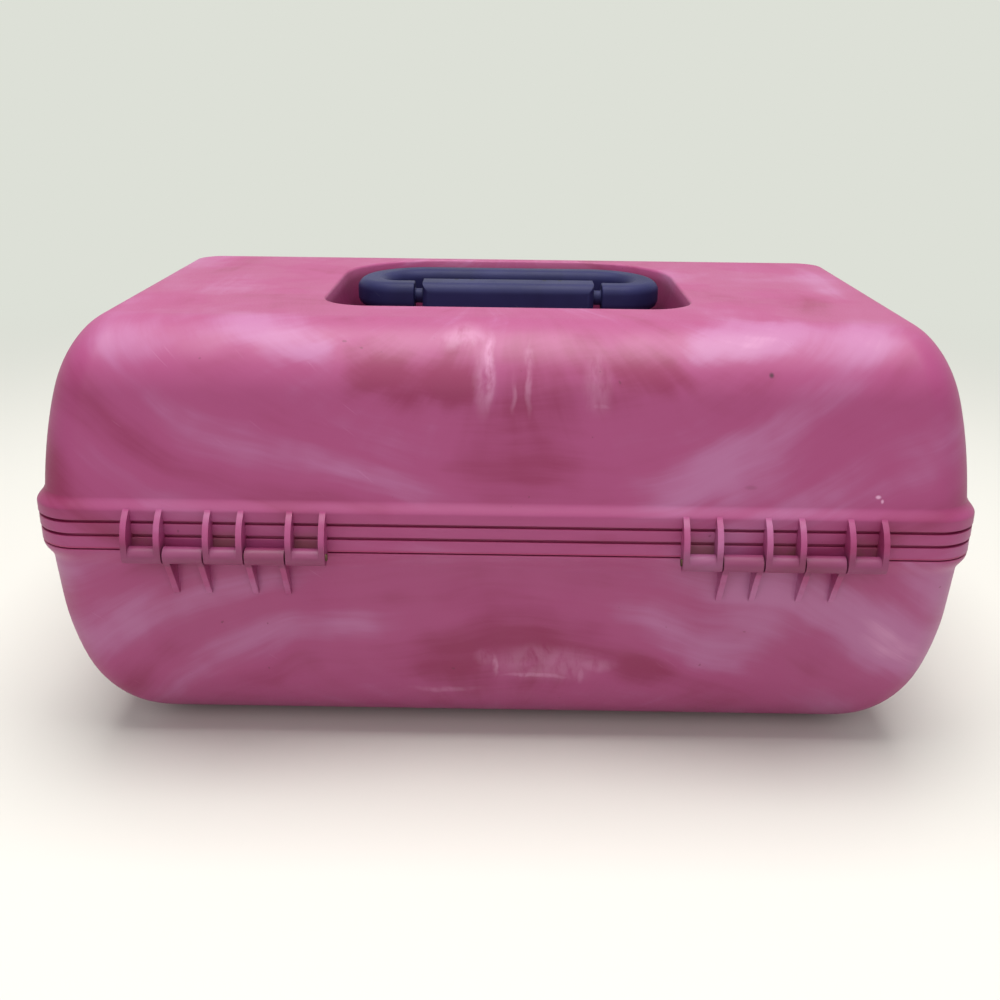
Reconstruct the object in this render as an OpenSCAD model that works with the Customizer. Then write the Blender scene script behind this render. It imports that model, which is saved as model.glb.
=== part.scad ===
// Moulded storage case for make-up: a domed lid on a deep base, joined by two
// groups of pinned knuckles at the back, with a fold-flat carrying handle in a
// well in the lid, a snap latch in front, and a tray that swings up and back
// on parallel links as the lid opens.
// Origin at the middle of the footprint, on the surface the case stands on.
// +Z is up, the latch faces -Y and the hinge +Y.

/* [Case] */
// Width of the closed case across the closing band
case_w = 335; // [315:1:355]
// Depth of the closed case across the closing band
case_d = 208; // [200:1:220]
// Height of the base, up to the line where the lid meets it
parting_z = 83.7; // [78:0.1:90]
// Height of the lid over that line
lid_h = 77.1; // [71:0.1:84]
// Open line between lid and base
parting_gap = 0.5; // [0.4:0.1:0.8]
// Corner radius of the closing band, seen from above
corner_r = 16.7; // [14:0.1:20]
// Smallest corner radius further up and down the shells
corner_min_r = 10; // [8:0.5:12]
// Wall thickness of both shells
wall = 2.5; // [2:0.1:3]

/* [Lid] */
// Height of the grooved band round the foot of the lid
band_h = 19; // [17:0.5:20]
// Step from the band in to the wall of the lid
lid_step = 2.4; // [1.8:0.1:2.8]
// Height of the soft shoulder that leads from the band to the wall
shoulder_h = 4.6; // [3.6:0.1:5]
// Height of a groove in the band
groove_h = 1.1; // [0.8:0.1:1.5]
// Depth of a groove in the band
groove_d = 1.8; // [1:0.1:2]
// Height from one groove to the next
groove_pitch = 5.1; // [4.6:0.1:5.2]
// Step in from one strip of the band to the strip below it
strip_step = 0.15; // [0:0.05:0.3]
// Lean of the lid's end walls for each mm of height
lid_end_lean = 0.031; // [0.02:0.001:0.05]
// How far the lid's ends curve in
lid_end_curve_in = 21.8; // [18:0.1:26]
// Height over which the lid's ends curve in, from the top down
lid_end_curve_h = 71.2; // [64:0.1:80]
// Lean of the lid's front and back for each mm of height
lid_face_lean = 0.132; // [0.11:0.001:0.15]
// How far the lid's front and back curve in
lid_face_curve_in = 25.5; // [22:0.1:27]
// Height over which the lid's front and back curve in
lid_face_curve_h = 22.2; // [19:0.1:25]

/* [Base] */
// Height of the flared rim round the top of the base
rim_h = 7.5; // [6:0.5:9]
// Step from the band in to the rim of the base
rim_step = 0.4; // [0.2:0.1:1]
// Step from the band in to the wall of the base
base_step = 2.9; // [2.6:0.1:3.3]
// Height of the lip that stands up inside the lid
lip_h = 3; // [2:0.1:4]
// Thickness of that lip
lip_t = 1.5; // [1.2:0.1:1.8]
// Clearance between the lip and the lid
lip_clear = 0.35; // [0.3:0.05:0.6]
// Lean of the base's end walls for each mm of depth
base_end_lean = 0.034; // [0.02:0.001:0.05]
// How far the base's ends curve in
base_end_curve_in = 41.5; // [38:0.1:48]
// Height over which the base's ends curve in, from the floor up
base_end_curve_h = 60.4; // [54:0.1:66]
// Lean of the base's front and back for each mm of depth
base_face_lean = 0.131; // [0.11:0.001:0.15]
// How far the base's front and back curve in
base_face_curve_in = 36; // [32:0.1:39]
// Height over which the base's front and back curve in
base_face_curve_h = 33.8; // [30:0.1:38]

/* [Hinge] */
// Distance from the band out to the hinge axis
hinge_out = 4; // [3.8:0.1:4.6]
// Radius of a knuckle's barrel
barrel_r = 3.05; // [2.8:0.05:3.3]
// Radius of the hinge pins
hinge_pin_r = 1.3; // [1.1:0.05:1.5]
// Radial clearance of each pin in its knuckles
pin_clear = 0.08; // [0.05:0.01:0.1]
// Distance from the end of the band in to the middle of a hinge
hinge_in = 70.5; // [62:0.5:76]
// Distance from one lid knuckle to the next
knuckle_pitch = 28.4; // [27:0.1:30]
// Width of a lid knuckle
lid_knuckle_w = 13.6; // [12:0.1:15]
// Clearance between neighbouring knuckles
knuckle_gap = 0.5; // [0.3:0.1:0.8]
// Thickness of the ribs that carry the barrels
rib_t = 2.1; // [1.8:0.1:2.4]
// Height of a lid rib's widest bulge over the hinge axis
rib_bulge_z = 3.8; // [3:0.1:5]
// Distance down from the hinge axis to the foot of a base gusset
gusset_drop = 17.5; // [15:0.5:20]
// How far a gusset's foot stands out of the wall
gusset_foot = 1.2; // [0.6:0.1:1.6]
// How much a hinge pin stands out of its end knuckles
pin_proud = 0.5; // [0.3:0.1:0.8]

/* [Handle] */
// Distance from the middle of the case forward to the handle's pivots
pivot_fwd = 8.5; // [6:0.5:10]
// Depth of the handle's top face under the top of the lid
handle_sink = 0.6; // [0.4:0.1:1.2]
// Overall width of the handle
handle_w = 128.6; // [122:0.2:130]
// Distance from the pivots to the outer edge of the grip
handle_reach = 43.5; // [41.5:0.5:46]
// Width of the handle's bar, seen from above
bar_w = 12.6; // [11:0.1:13.4]
// Height of the handle's bar
bar_h = 11.6; // [10:0.1:12.4]
// Rounding of the bar's edges
bar_round = 4; // [3:0.1:4.6]
// Corner radius of the handle at the pivots, on the bar's middle line
near_bend_r = 11.7; // [9:0.1:12.2]
// Length of the straight between the two bends of a side
side_run = 1.9; // [1:0.1:4]
// Gap between an arm's end and the bracket
arm_gap = 3.5; // [2.5:0.1:4.5]
// Radius of the handle's pivot stubs
stub_r = 3; // [2.6:0.1:3.2]
// Length of a stub inside the bracket
stub_in = 6.5; // [5:0.5:8]
// Radial clearance of the stubs in the bracket
stub_clear = 0.1; // [0.05:0.01:0.15]

/* [Handle bracket] */
// Width of the bracket between the handle's arms
bracket_w = 71.2; // [66:0.2:74]
// Depth of the bracket from front to back
bracket_d = 17.5; // [16.5:0.1:19]
// Rounding of the bracket's long top edges
bracket_round = 4.5; // [3.5:0.1:5]
// Corner radius of the bracket, seen from above
bracket_corner_r = 3.2; // [2.5:0.1:4]
// Thickness of the bracket's foot
foot_h = 9; // [8:0.5:10]
// Distance from the middle to each of the foot's two tongues
tongue_x = 18.5; // [16:0.5:21]
// Width of a tongue
tongue_w = 5; // [4:0.1:6]
// Thickness of a tongue
tongue_t = 2.4; // [2:0.1:2.6]
// Gap on each side of a tongue
tongue_gap = 1.6; // [1.2:0.1:2]
// Gap behind a tongue
tongue_back_gap = 0.3; // [0.2:0.1:0.6]
// Radius of the bracket screws
screw_r = 1.5; // [1.3:0.1:1.8]
// Radius of their heads
screw_head_r = 3; // [2.6:0.1:3.4]
// Thickness of their heads
screw_head_h = 1.8; // [1.4:0.1:2.2]
// How far a bracket screw reaches up past the floor of the well
screw_reach = 7; // [6:0.5:7.5]
// Distance from the middle of the bracket to each screw
screw_x = 28; // [25:0.5:30]

/* [Handle well] */
// Gap from each end of the handle to the mouth of the well
well_side = 6.2; // [5:0.1:9]
// Gap from the grip to the mouth of the well
well_end = 14.5; // [12:0.5:17]
// Height left for fingers under the handle's bar
finger_room = 10.6; // [9.5:0.1:12]
// How far the well's sides slope in from mouth to floor
well_draft = 6; // [4:0.2:7]
// Corner radius of the mouth at the front
well_front_r = 42; // [36:0.5:44]
// Corner radius of the mouth at the back
well_back_r = 18; // [15:0.5:24]
// Width of the eased edge round the mouth
well_edge = 1.3; // [0.8:0.1:1.8]
// Thickness of the rests under the grip
rest_t = 4; // [3:0.5:5]
// Distance from the middle to each rest
rest_x = 30; // [26:0.5:32]
// Clearance between the grip and its rests
rest_clear = 0.3; // [0.3:0.1:0.6]

/* [Latch] */
// Width of the latch flap
latch_w = 46; // [40:0.5:54]
// Height of the latch pivot over the parting line
latch_up = 12; // [10.5:0.1:13]
// Distance from the band out to the latch pivot
latch_out = 4.4; // [4.2:0.1:5]
// Radius of the flap's barrel
latch_barrel_r = 3.1; // [2.8:0.1:3.4]
// Radius of the latch pin
latch_pin_r = 1.25; // [1.1:0.05:1.4]
// Thickness of the flap
latch_t = 2.8; // [2.4:0.1:3.2]
// Height of the flap's finger edge under its hook
latch_grip_h = 11; // [8:0.5:14]
// How far the flap's finger edge flares out
latch_flare = 3; // [2:0.1:4]
// Corner radius of the flap's lower edge
latch_corner_r = 7; // [5:0.5:9]
// Radius of the finger grooves across the flap
flap_groove_r = 0.8; // [0.5:0.1:1]
// Distance from one finger groove to the next
flap_groove_pitch = 2.6; // [2:0.1:3.2]
// Thickness of the ears that carry the latch pin
ear_t = 3.2; // [2.6:0.1:4]
// Height of the keeper ridge on the base
keeper_h = 3; // [2.4:0.1:3.6]
// How far the keeper stands out past the band
keeper_out = 1.6; // [1.2:0.1:1.8]
// Distance from the parting line down to the top of the keeper
keeper_down = 3; // [2.5:0.1:3.5]
// Height of the hook behind the flap
hook_h = 3.6; // [3:0.1:4.2]
// Clearance between the hook and the keeper
hook_clear = 0.35; // [0.3:0.05:0.5]

/* [Tray] */
// Distance from the band in to each end of the tray
tray_side_in = 18; // [17:0.5:24]
// Distance from the band in to the front of the tray
tray_front_in = 19; // [17:0.5:24]
// Distance from the band in to the back of the tray
tray_back_in = 29; // [26:0.5:34]
// Height left between the tray and the mirror
tray_room = 8.6; // [5:0.1:12]
// Thickness of the tray's walls and floor
tray_wall = 2; // [1.8:0.1:2.4]
// Corner radius of the tray, seen from above
tray_corner_r = 4; // [3:0.5:6]
// Distance from the parting line up to the tray's underside
tray_up = 4.6; // [4.4:0.1:5.4]
// Depth of the tray's front row of compartments
front_row_d = 44; // [40:0.5:50]
// Depth of the tray's back row of compartments
back_row_d = 46; // [42:0.5:50]
// Thickness of a loose divider in the tray
divider_t = 1.5; // [1.2:0.1:1.8]
// Distance from the tray's top edge down to a divider
divider_drop = 5; // [3:0.5:7]
// Clearance of a divider in its guides
divider_clear = 0.25; // [0.2:0.05:0.4]
// Thickness of the guides that hold a divider
guide_t = 1.6; // [1.2:0.1:2]
// How far those guides stand out of the wall
guide_out = 2; // [1.6:0.1:2.6]

/* [Tray links] */
// Distance from the tray's back in to the pivots where the lid carries it
lug_in = 15; // [13:0.5:20]
// Height of those pivots over the tray's underside
lug_lift = 13.2; // [11:0.1:15]
// Distance from the tray's front in to the pivots of the links
link_in = 43; // [38:0.5:48]
// Height of those pivots over the tray's underside
link_lift = 6.4; // [5.5:0.1:7.5]
// Thickness of a link
link_t = 2; // [1.6:0.1:2.4]
// Width of a link
link_w = 11; // [10:0.1:12.5]
// Side clearance on each face of a link
link_gap = 0.6; // [0.4:0.1:0.8]
// Radius of the tray pivots
rivet_r = 2; // [1.7:0.1:2.3]
// Radius of the heads of the tray pivots
rivet_head_r = 3.8; // [3.4:0.1:4.2]
// Thickness of those heads
rivet_head_h = 1.4; // [1.1:0.1:1.7]
// Length of a tray pivot inside its boss
rivet_in = 5; // [4:0.5:6.5]
// Radial clearance of the tray pivots where they turn
rivet_clear = 0.1; // [0.05:0.01:0.12]
// Radius of the bosses that carry the tray pivots
boss_r = 5.5; // [5:0.1:6]

/* [Mirror] */
// Width of the mirror's frame
mirror_w = 214; // [200:1:226]
// Depth of the mirror's frame
mirror_d = 126; // [118:1:132]
// Thickness of the frame
mirror_t = 4.6; // [4:0.1:5.4]
// Border of the frame round the glass
mirror_border = 7; // [6:0.5:9]
// Thickness of the glass
glass_t = 2; // [1.8:0.1:2.4]
// Clearance round the glass
glass_clear = 0.3; // [0.2:0.05:0.4]
// Corner radius of the frame
mirror_corner_r = 10; // [8:0.5:14]
// Height of the posts between the well and the frame
post_h = 5; // [4.2:0.1:5.4]
// Radius of those posts
post_r = 4.2; // [3.8:0.1:4.8]
// Radius of the frame's pegs
peg_r = 1.6; // [1.4:0.1:1.8]
// Length of the frame's pegs
peg_h = 4; // [3.2:0.1:4.2]
// Radial clearance of a peg in its post
peg_clear = 0.1; // [0.05:0.01:0.15]
// Distance from the middle of the well to a post, across
post_x = 48; // [42:0.5:50]
// Distance from the middle of the well to a post, front to back
post_y = 38; // [32:0.5:40]

/* [Hidden] */

// Smoothness of turned and bored shapes
$fn = 48;
// Segments in a quarter turn of a shell's corner
corner_steps = 10;
// Rings from the shoulder of a shell to its closed end
shell_steps = 16;
// Rings in the soft shoulder of the lid and in the flare of the base's rim
flare_steps = 6;
// How quickly the rings close up towards that end
ring_power = 2.2;
// Share by which a corner tightens as the wall moves in
corner_fade = 0.3;
// Small overlap that joins shapes of one piece
bite = 0.6;
// Thickness of the slices that a hull runs between
slice = 0.01;
// Smoothness of the well's corners
well_fn = 56;
// Smoothness of the handle's bends
bend_fn = 96;
// Angles round the barrel where a gusset's outer edge starts and ends
gusset_from = 25;
gusset_to = 70;
// Extra length on cuts
over = 1;

case_h = parting_z + lid_h;
case_back = case_d / 2;
case_end = case_w / 2;
lid_low_z = parting_z + parting_gap / 2;
rim_top_z = parting_z - parting_gap / 2;
lid_start_z = parting_z + band_h;
band_top_z = lid_start_z - shoulder_h;
lid_rise = case_h - lid_start_z;
base_start_z = parting_z - rim_h;
lip_inset = lid_step + wall + lip_clear;
hinge_x = case_end - hinge_in;
hinge_y = case_back + hinge_out;
hinge_z = parting_z;
group_w = 2 * knuckle_pitch + lid_knuckle_w;
base_knuckle_w = knuckle_pitch - lid_knuckle_w - 2 * knuckle_gap;

pivot_y = -pivot_fwd;
pivot_z = case_h - handle_sink - bar_h / 2;
well_depth = handle_sink + bar_h + finger_room;
well_w = handle_w + 2 * well_side;
well_half_d = handle_reach + well_end;
well_floor_z = case_h - well_depth;
well_under_z = well_floor_z - wall;
bar_mid_x = handle_w / 2 - bar_w / 2;
grip_y = pivot_y - handle_reach + bar_w / 2;
far_bend_r = pivot_y - grip_y - near_bend_r - side_run;
arm_end_x = bracket_w / 2 + arm_gap;
bracket_z = well_floor_z + foot_h;

latch_y = -case_back - latch_out;
latch_z = parting_z + latch_up;
keeper_y = -case_back - keeper_out;
keeper_top_z = parting_z - keeper_down;
flap_in_y = latch_y + latch_t / 2 - latch_barrel_r / 2;
hook_z = keeper_top_z - keeper_h - hook_clear;
flap_foot_z = hook_z - hook_h - latch_grip_h;

mirror_top_z = well_under_z - post_h;
mirror_z = mirror_top_z - mirror_t;

tray_end = case_end - tray_side_in;
tray_w = 2 * tray_end;
tray_front = -case_back + tray_front_in;
tray_back = case_back - tray_back_in;
tray_mid = (tray_front + tray_back) / 2;
tray_d = tray_back - tray_front;
tray_z = parting_z + tray_up;
tray_h = mirror_z - tray_room - tray_z;
divider_h = tray_h - tray_wall - divider_drop;
lug_y = tray_back - lug_in;
lug_z = tray_z + lug_lift;
link_y = tray_front + link_in;
link_z = tray_z + link_lift;
// The links copy the lid's own arm from hinge to lug, so the tray stays level
lug_fwd = hinge_y - lug_y;
lug_up = lug_z - hinge_z;
foot_y = link_y + lug_fwd;
foot_z = link_z - lug_up;
link_in_x = tray_end + link_gap;
link_out_x = link_in_x + link_t;
boss_in_x = link_out_x + link_gap;

plum = [0.61, 0.29, 0.45];
navy = [0.22, 0.23, 0.38];
metal = [0.45, 0.40, 0.28];
smoke = [0.70, 0.42, 0.56];
silver = [0.80, 0.83, 0.86];

// ---------- Outlines and lofts ----------

// Inward travel of a wall at height h above its start
function wall_in(h, rise, lean, curve_in, curve_h) =
    lean * h + curve_in * (1 - sqrt(1 - pow(min(1, max(0, (h - rise + curve_h) / curve_h)), 2)));

// Closed outline with rounded corners at height z
function ring(half_x, half_y, r, z) = [
    for (q = [0:3]) for (i = [0:corner_steps])
        let (a = 90 * (q + i / corner_steps),
             sx = (q == 0 || q == 3) ? 1 : -1,
             sy = q < 2 ? 1 : -1)
        [sx * (half_x - r) + r * cos(a), sy * (half_y - r) + r * sin(a), z]];

// Outline of a shell whose walls stand in by ix at the ends and iy at the faces
function shell_ring(ix, iy, z) =
    ring(case_end - ix, case_back - iy,
         max(corner_min_r, corner_r - corner_fade * (ix + iy) / 2), z);

// Share of a shell's rise at ring i
function level(i) = 1 - pow(1 - i / shell_steps, ring_power);

// Smooth rise from 0 to 1
function ease(t) = (1 - cos(180 * t)) / 2;

// Rings of the same inset, one for each height
function upright(inset, heights) = [for (z = heights) shell_ring(inset, inset, z)];

// Rings that swing smoothly from one inset and height to another, without the last
function flare(in_0, z_0, in_1, z_1) = [
    for (i = [0:flare_steps - 1])
        let (t = i / flare_steps, inset = in_0 + (in_1 - in_0) * ease(t))
        shell_ring(inset, inset, z_0 + (z_1 - z_0) * t)];

// Rings of the grooved band, from the parting line up, with the shoulder over it
function band_rings() = concat(
    upright(2 * strip_step, [lid_low_z, lid_low_z + groove_pitch - groove_h / 2]),
    [for (i = [1, 0])
        let (z = lid_low_z + (2 - i) * groove_pitch)
        each concat(upright(groove_d, [z - groove_h / 2, z + groove_h / 2]),
                    upright(i * strip_step, [z + groove_h / 2]),
                    i > 0 ? upright(i * strip_step, [z + groove_pitch - groove_h / 2]) : [])],
    flare(0, band_top_z, lid_step, lid_start_z));

// Rings of the lid's wall, outside (inner = 0) or inside (inner = wall)
function lid_rings(inner) =
    [for (i = [0:shell_steps])
        let (h = level(i) * lid_rise,
             ix = wall_in(h, lid_rise, lid_end_lean, lid_end_curve_in, lid_end_curve_h),
             iy = wall_in(h, lid_rise, lid_face_lean, lid_face_curve_in, lid_face_curve_h))
        shell_ring(lid_step + ix + inner, lid_step + iy + inner,
                   lid_start_z + h * (lid_rise - inner) / lid_rise)];

// Rings of the base's wall, from the foot of the rim down
function base_rings(inner) =
    [for (i = [0:shell_steps])
        let (h = level(i) * base_start_z,
             ix = wall_in(h, base_start_z, base_end_lean, base_end_curve_in, base_end_curve_h),
             iy = wall_in(h, base_start_z, base_face_lean, base_face_curve_in, base_face_curve_h))
        shell_ring(base_step + ix + inner, base_step + iy + inner,
                   base_start_z - h * (base_start_z - inner) / base_start_z)];

// Index of point j of ring k, in rings of n points
function at(n, k, j) = k * n + j % n;

function facing(a, b, c, flip) = flip ? [a, c, b] : [a, b, c];

// Two triangles between rings k and k2 at point j
function patch(n, k, k2, j, flip) = [
    facing(at(n, k, j), at(n, k2, j), at(n, k2, j + 1), flip),
    facing(at(n, k, j), at(n, k2, j + 1), at(n, k, j + 1), flip)];

function reversed(list) = [for (i = [len(list) - 1:-1:0]) list[i]];

// Shell between outer and inner rings, which both run from its open edge on.
// down is true where the rings run downwards.
module loft_shell(outer, inner, down) {
    n = len(outer[0]);
    m = len(outer);
    last = m + len(inner) - 1;
    cap = [for (j = [0:n - 1]) at(n, m - 1, j)];
    hollow = [for (j = [0:n - 1]) at(n, last, j)];
    polyhedron(
        points = concat([for (r = outer) each r], [for (r = inner) each r]),
        faces = concat(
            [for (k = [0:m - 2]) for (j = [0:n - 1]) each patch(n, k, k + 1, j, down)],
            [for (k = [m:last - 1]) for (j = [0:n - 1]) each patch(n, k, k + 1, j, !down)],
            [for (j = [0:n - 1]) each patch(n, 0, m, j, !down)],
            [down ? cap : reversed(cap), down ? reversed(hollow) : hollow]),
        convexity = 6);
}

module rounded_rect(w, d, r) {
    square([w - 2 * r, d], center = true);
    square([w, d - 2 * r], center = true);
    for (x = [-1, 1], y = [-1, 1])
        translate([x * (w / 2 - r), y * (d / 2 - r)])
            circle(r);
}

// Outline of the case at the band, moved in by inset
module case_outline(inset) {
    rounded_rect(case_w - 2 * inset, case_d - 2 * inset, corner_r - inset * corner_fade);
}

// Flat frame of the case's outline between two insets
module case_frame(z, h, inset_out, inset_in) {
    translate([0, 0, z])
        linear_extrude(h)
            difference() {
                case_outline(inset_out);
                case_outline(inset_in);
            }
}

// Puts a side profile drawn as (y, z) at x, with thickness t along +X
module side_profile(x, t) {
    translate([x, 0, 0])
        rotate([90, 0, 90])
            linear_extrude(t)
                children();
}

// Rod along +X from x, at (y, z)
module cross_rod(x, y, z, r, len) {
    translate([x, y, z])
        rotate([0, 90, 0])
            cylinder(r = r, h = len);
}

// ---------- Base ----------

// Outline of a gusset from the barrel down to the wall of the base
module gusset_profile() {
    wall_y = case_back - base_step - base_face_lean * (gusset_drop - rim_h);
    polygon([
        [hinge_y + barrel_r * cos(gusset_from), hinge_z - barrel_r * sin(gusset_from)],
        [hinge_y, hinge_z - parting_gap / 2],
        [case_back - base_step - bite, hinge_z - parting_gap / 2 - rim_h / 2],
        [wall_y - bite, hinge_z - gusset_drop],
        [wall_y + gusset_foot, hinge_z - gusset_drop],
        [hinge_y + barrel_r * cos(gusset_to), hinge_z - barrel_r * sin(gusset_to) - bite]]);
}

module base_knuckle(x) {
    web_y = case_back - rim_step - bite;
    cross_rod(x - base_knuckle_w / 2, hinge_y, hinge_z, barrel_r, base_knuckle_w);
    translate([x - base_knuckle_w / 2, web_y, rim_top_z - rib_t])
        cube([base_knuckle_w, hinge_y - web_y, rib_t]);
    for (e = [x - base_knuckle_w / 2, x + base_knuckle_w / 2 - rib_t])
        side_profile(e, rib_t)
            gusset_profile();
}

module keeper() {
    back_y = -case_back + base_step + wall / 2;
    translate([-latch_w / 2 + ear_t, keeper_y, keeper_top_z - keeper_h])
        cube([latch_w - 2 * ear_t, back_y - keeper_y, keeper_h]);
}

module base_shell() color(plum) {
    difference() {
        union() {
            loft_shell(concat(flare(rim_step, rim_top_z, base_step, base_start_z), base_rings(0)),
                       concat(upright(base_step + wall, [rim_top_z]), base_rings(wall)), true);
            case_frame(rim_top_z - rim_h / 2, rim_h / 2, base_step + wall / 2, lip_inset + lip_t);
            case_frame(rim_top_z - over, over + lip_h, lip_inset, lip_inset + lip_t);
            for (s = [-1, 1], k = [-0.5, 0.5])
                base_knuckle(s * hinge_x + k * knuckle_pitch);
            keeper();
            for (s = [-1, 1])
                base_boss(s);
        }
        for (s = [-1, 1])
            cross_rod(s * hinge_x - group_w / 2, hinge_y, hinge_z, hinge_pin_r + pin_clear, group_w);
        for (s = [-1, 1])
            cross_rod(s > 0 ? boss_in_x - over : -boss_in_x - rivet_in - rivet_clear,
                      foot_y, foot_z, rivet_r + rivet_clear, rivet_in + rivet_clear + over);
    }
}

// Boss on an end wall of the base that carries a link
module base_boss(s) {
    reach = case_end - base_step - wall / 2 - base_end_lean * rim_h - boss_in_x;
    cross_rod(s > 0 ? boss_in_x : -boss_in_x - reach, foot_y, foot_z, boss_r, reach);
}

// ---------- Lid ----------

// Outline of a rib from the barrel up to the shoulder of the lid
module rib_profile() {
    out = hinge_out + barrel_r;
    rise = band_h - shoulder_h - rib_bulge_z + over;
    r = (out * out + rise * rise) / (2 * out);
    sweep = asin(rise / r);
    steps = 8;
    polygon(concat(
        [[case_back - lid_step - bite, hinge_z + rib_bulge_z + rise],
         [case_back - lid_step - bite, lid_low_z],
         [hinge_y, lid_low_z],
         [hinge_y + barrel_r, hinge_z]],
        [for (i = [0:steps])
            let (a = sweep * i / steps)
            [hinge_y + barrel_r - r + r * cos(a), hinge_z + rib_bulge_z + r * sin(a)]]));
}

module lid_knuckle(x) {
    cross_rod(x - lid_knuckle_w / 2, hinge_y, hinge_z, barrel_r, lid_knuckle_w);
    for (e = [x - lid_knuckle_w / 2, x + lid_knuckle_w / 2 - rib_t])
        side_profile(e, rib_t)
            rib_profile();
}

// Solid of the handle well between its mouth and a floor, grown by extra
module well_form(extra, top_z, floor_z) {
    slope = well_draft / well_depth;
    hull()
        for (lay = [[top_z, (case_h - top_z) * slope], [floor_z, (case_h - floor_z) * slope]])
            for (sx = [-1, 1], front = [0, 1]) {
                r = (front ? well_front_r : well_back_r) - lay[1] + extra;
                half_x = well_w / 2 - lay[1] + extra;
                half_y = well_half_d - lay[1] + extra;
                translate([sx * (half_x - r), pivot_y + (front ? -1 : 1) * (half_y - r), lay[0]])
                    cylinder(r = r, h = slice, $fn = well_fn);
            }
}

// Eased edge round the mouth of the well
module well_edge_cut() {
    hull()
        for (lay = [[case_h + slice, well_edge], [case_h - well_edge, 0]])
            for (sx = [-1, 1], front = [0, 1]) {
                r = (front ? well_front_r : well_back_r) + lay[1];
                translate([sx * (well_w / 2 + lay[1] - r),
                           pivot_y + (front ? -1 : 1) * (well_half_d + lay[1] - r), lay[0]])
                    cylinder(r = r, h = slice, $fn = well_fn);
            }
}

// Rests that hold the grip up, in front and behind, for both ways it folds
module grip_rests() {
    low = pivot_z - bar_h / 2 - rest_clear;
    for (s = [-1, 1], side = [-1, 1])
        translate([s * rest_x - rest_t / 2,
                   pivot_y + side * (pivot_y - grip_y) - rest_t, well_floor_z - bite])
            cube([rest_t, 2 * rest_t, low - well_floor_z + bite]);
}

module latch_ears() {
    for (x = [-latch_w / 2 - knuckle_gap - ear_t, latch_w / 2 + knuckle_gap]) {
        cross_rod(x, latch_y, latch_z, latch_barrel_r, ear_t);
        translate([x, latch_y, latch_z - latch_barrel_r])
            cube([ear_t, latch_out + lid_step, 2 * latch_barrel_r]);
    }
}

// Posts under the well that the mirror's frame is pegged to
module mirror_posts() {
    for (x = [-post_x, post_x], y = [-post_y, post_y])
        translate([x, pivot_y + y, mirror_top_z])
            difference() {
                cylinder(r = post_r, h = post_h + bite);
                translate([0, 0, -over])
                    cylinder(r = peg_r + peg_clear, h = peg_h + peg_clear + over);
            }
}

// Boss on an end wall of the lid that carries the back of the tray
module lid_boss(s) {
    reach = case_end - lid_step - wall / 2 - link_in_x;
    cross_rod(s > 0 ? link_in_x : -link_in_x - reach, lug_y, lug_z, boss_r, reach);
}

module lid_shell() color(plum) {
    difference() {
        union() {
            difference() {
                union() {
                    loft_shell(concat(band_rings(), lid_rings(0)),
                               concat(upright(lid_step + wall, [lid_low_z]), lid_rings(wall)), false);
                    well_form(wall, case_h - wall / 2, well_under_z);
                }
                well_form(0, case_h + over, well_floor_z);
                well_edge_cut();
            }
            for (s = [-1, 1], k = [-1, 0, 1])
                lid_knuckle(s * hinge_x + k * knuckle_pitch);
            grip_rests();
            latch_ears();
            mirror_posts();
            for (s = [-1, 1])
                lid_boss(s);
        }
        for (s = [-1, 1])
            cross_rod(s * hinge_x - group_w / 2 - over, hinge_y, hinge_z,
                      hinge_pin_r + pin_clear, group_w + 2 * over);
        cross_rod(-latch_w / 2 - knuckle_gap - ear_t - over, latch_y, latch_z,
                  latch_pin_r + pin_clear, latch_w + 2 * (knuckle_gap + ear_t + over));
        for (s = [-1, 1])
            cross_rod(s > 0 ? link_in_x - over : -link_in_x - rivet_in - rivet_clear,
                      lug_y, lug_z, rivet_r + rivet_clear, rivet_in + rivet_clear + over);
        for (x = [-screw_x, screw_x])
            translate([x, pivot_y, well_under_z - over])
                cylinder(r = screw_r + pin_clear, h = wall + 2 * over);
    }
}

// ---------- Hinge pins ----------

module hinge_pin(s) color(metal)
    cross_rod(s * hinge_x - group_w / 2 - pin_proud, hinge_y, hinge_z,
              hinge_pin_r, group_w + 2 * pin_proud);

module hinge_pin_left() hinge_pin(-1);

module hinge_pin_right() hinge_pin(1);

// ---------- Handle ----------

// Cross-section of the handle's bar
module bar_section() {
    rounded_rect(bar_w, bar_h, bar_round);
}

// Straight stretch of bar along +X from x, at y
module bar_along_x(x, y, len) {
    translate([x, y, pivot_z])
        rotate([90, 0, 90])
            linear_extrude(len)
                bar_section();
}

// Quarter bend of the bar, of radius r, turned to start at angle a
module bar_bend(x, y, r, a) {
    translate([x, y, pivot_z])
        rotate([0, 0, a])
            rotate_extrude(angle = 90, $fn = bend_fn)
                translate([r, 0])
                    bar_section();
}

module handle_side() {
    arm_len = bar_mid_x - near_bend_r - arm_end_x;
    side_len = pivot_y - grip_y - near_bend_r - far_bend_r;
    bar_along_x(arm_end_x, pivot_y, arm_len);
    bar_bend(bar_mid_x - near_bend_r, pivot_y - near_bend_r, near_bend_r, 0);
    translate([bar_mid_x, grip_y + far_bend_r + side_len, pivot_z])
        rotate([90, 0, 0])
            linear_extrude(side_len)
                bar_section();
    bar_bend(bar_mid_x - far_bend_r, grip_y + far_bend_r, far_bend_r, -90);
    cross_rod(arm_end_x - arm_gap - stub_in, pivot_y, pivot_z, stub_r, arm_gap + stub_in + bite);
}

module handle_bail() color(navy) {
    grip_half = bar_mid_x - far_bend_r;
    handle_side();
    mirror([1, 0, 0])
        handle_side();
    bar_along_x(-grip_half, grip_y, 2 * grip_half);
}

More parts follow.
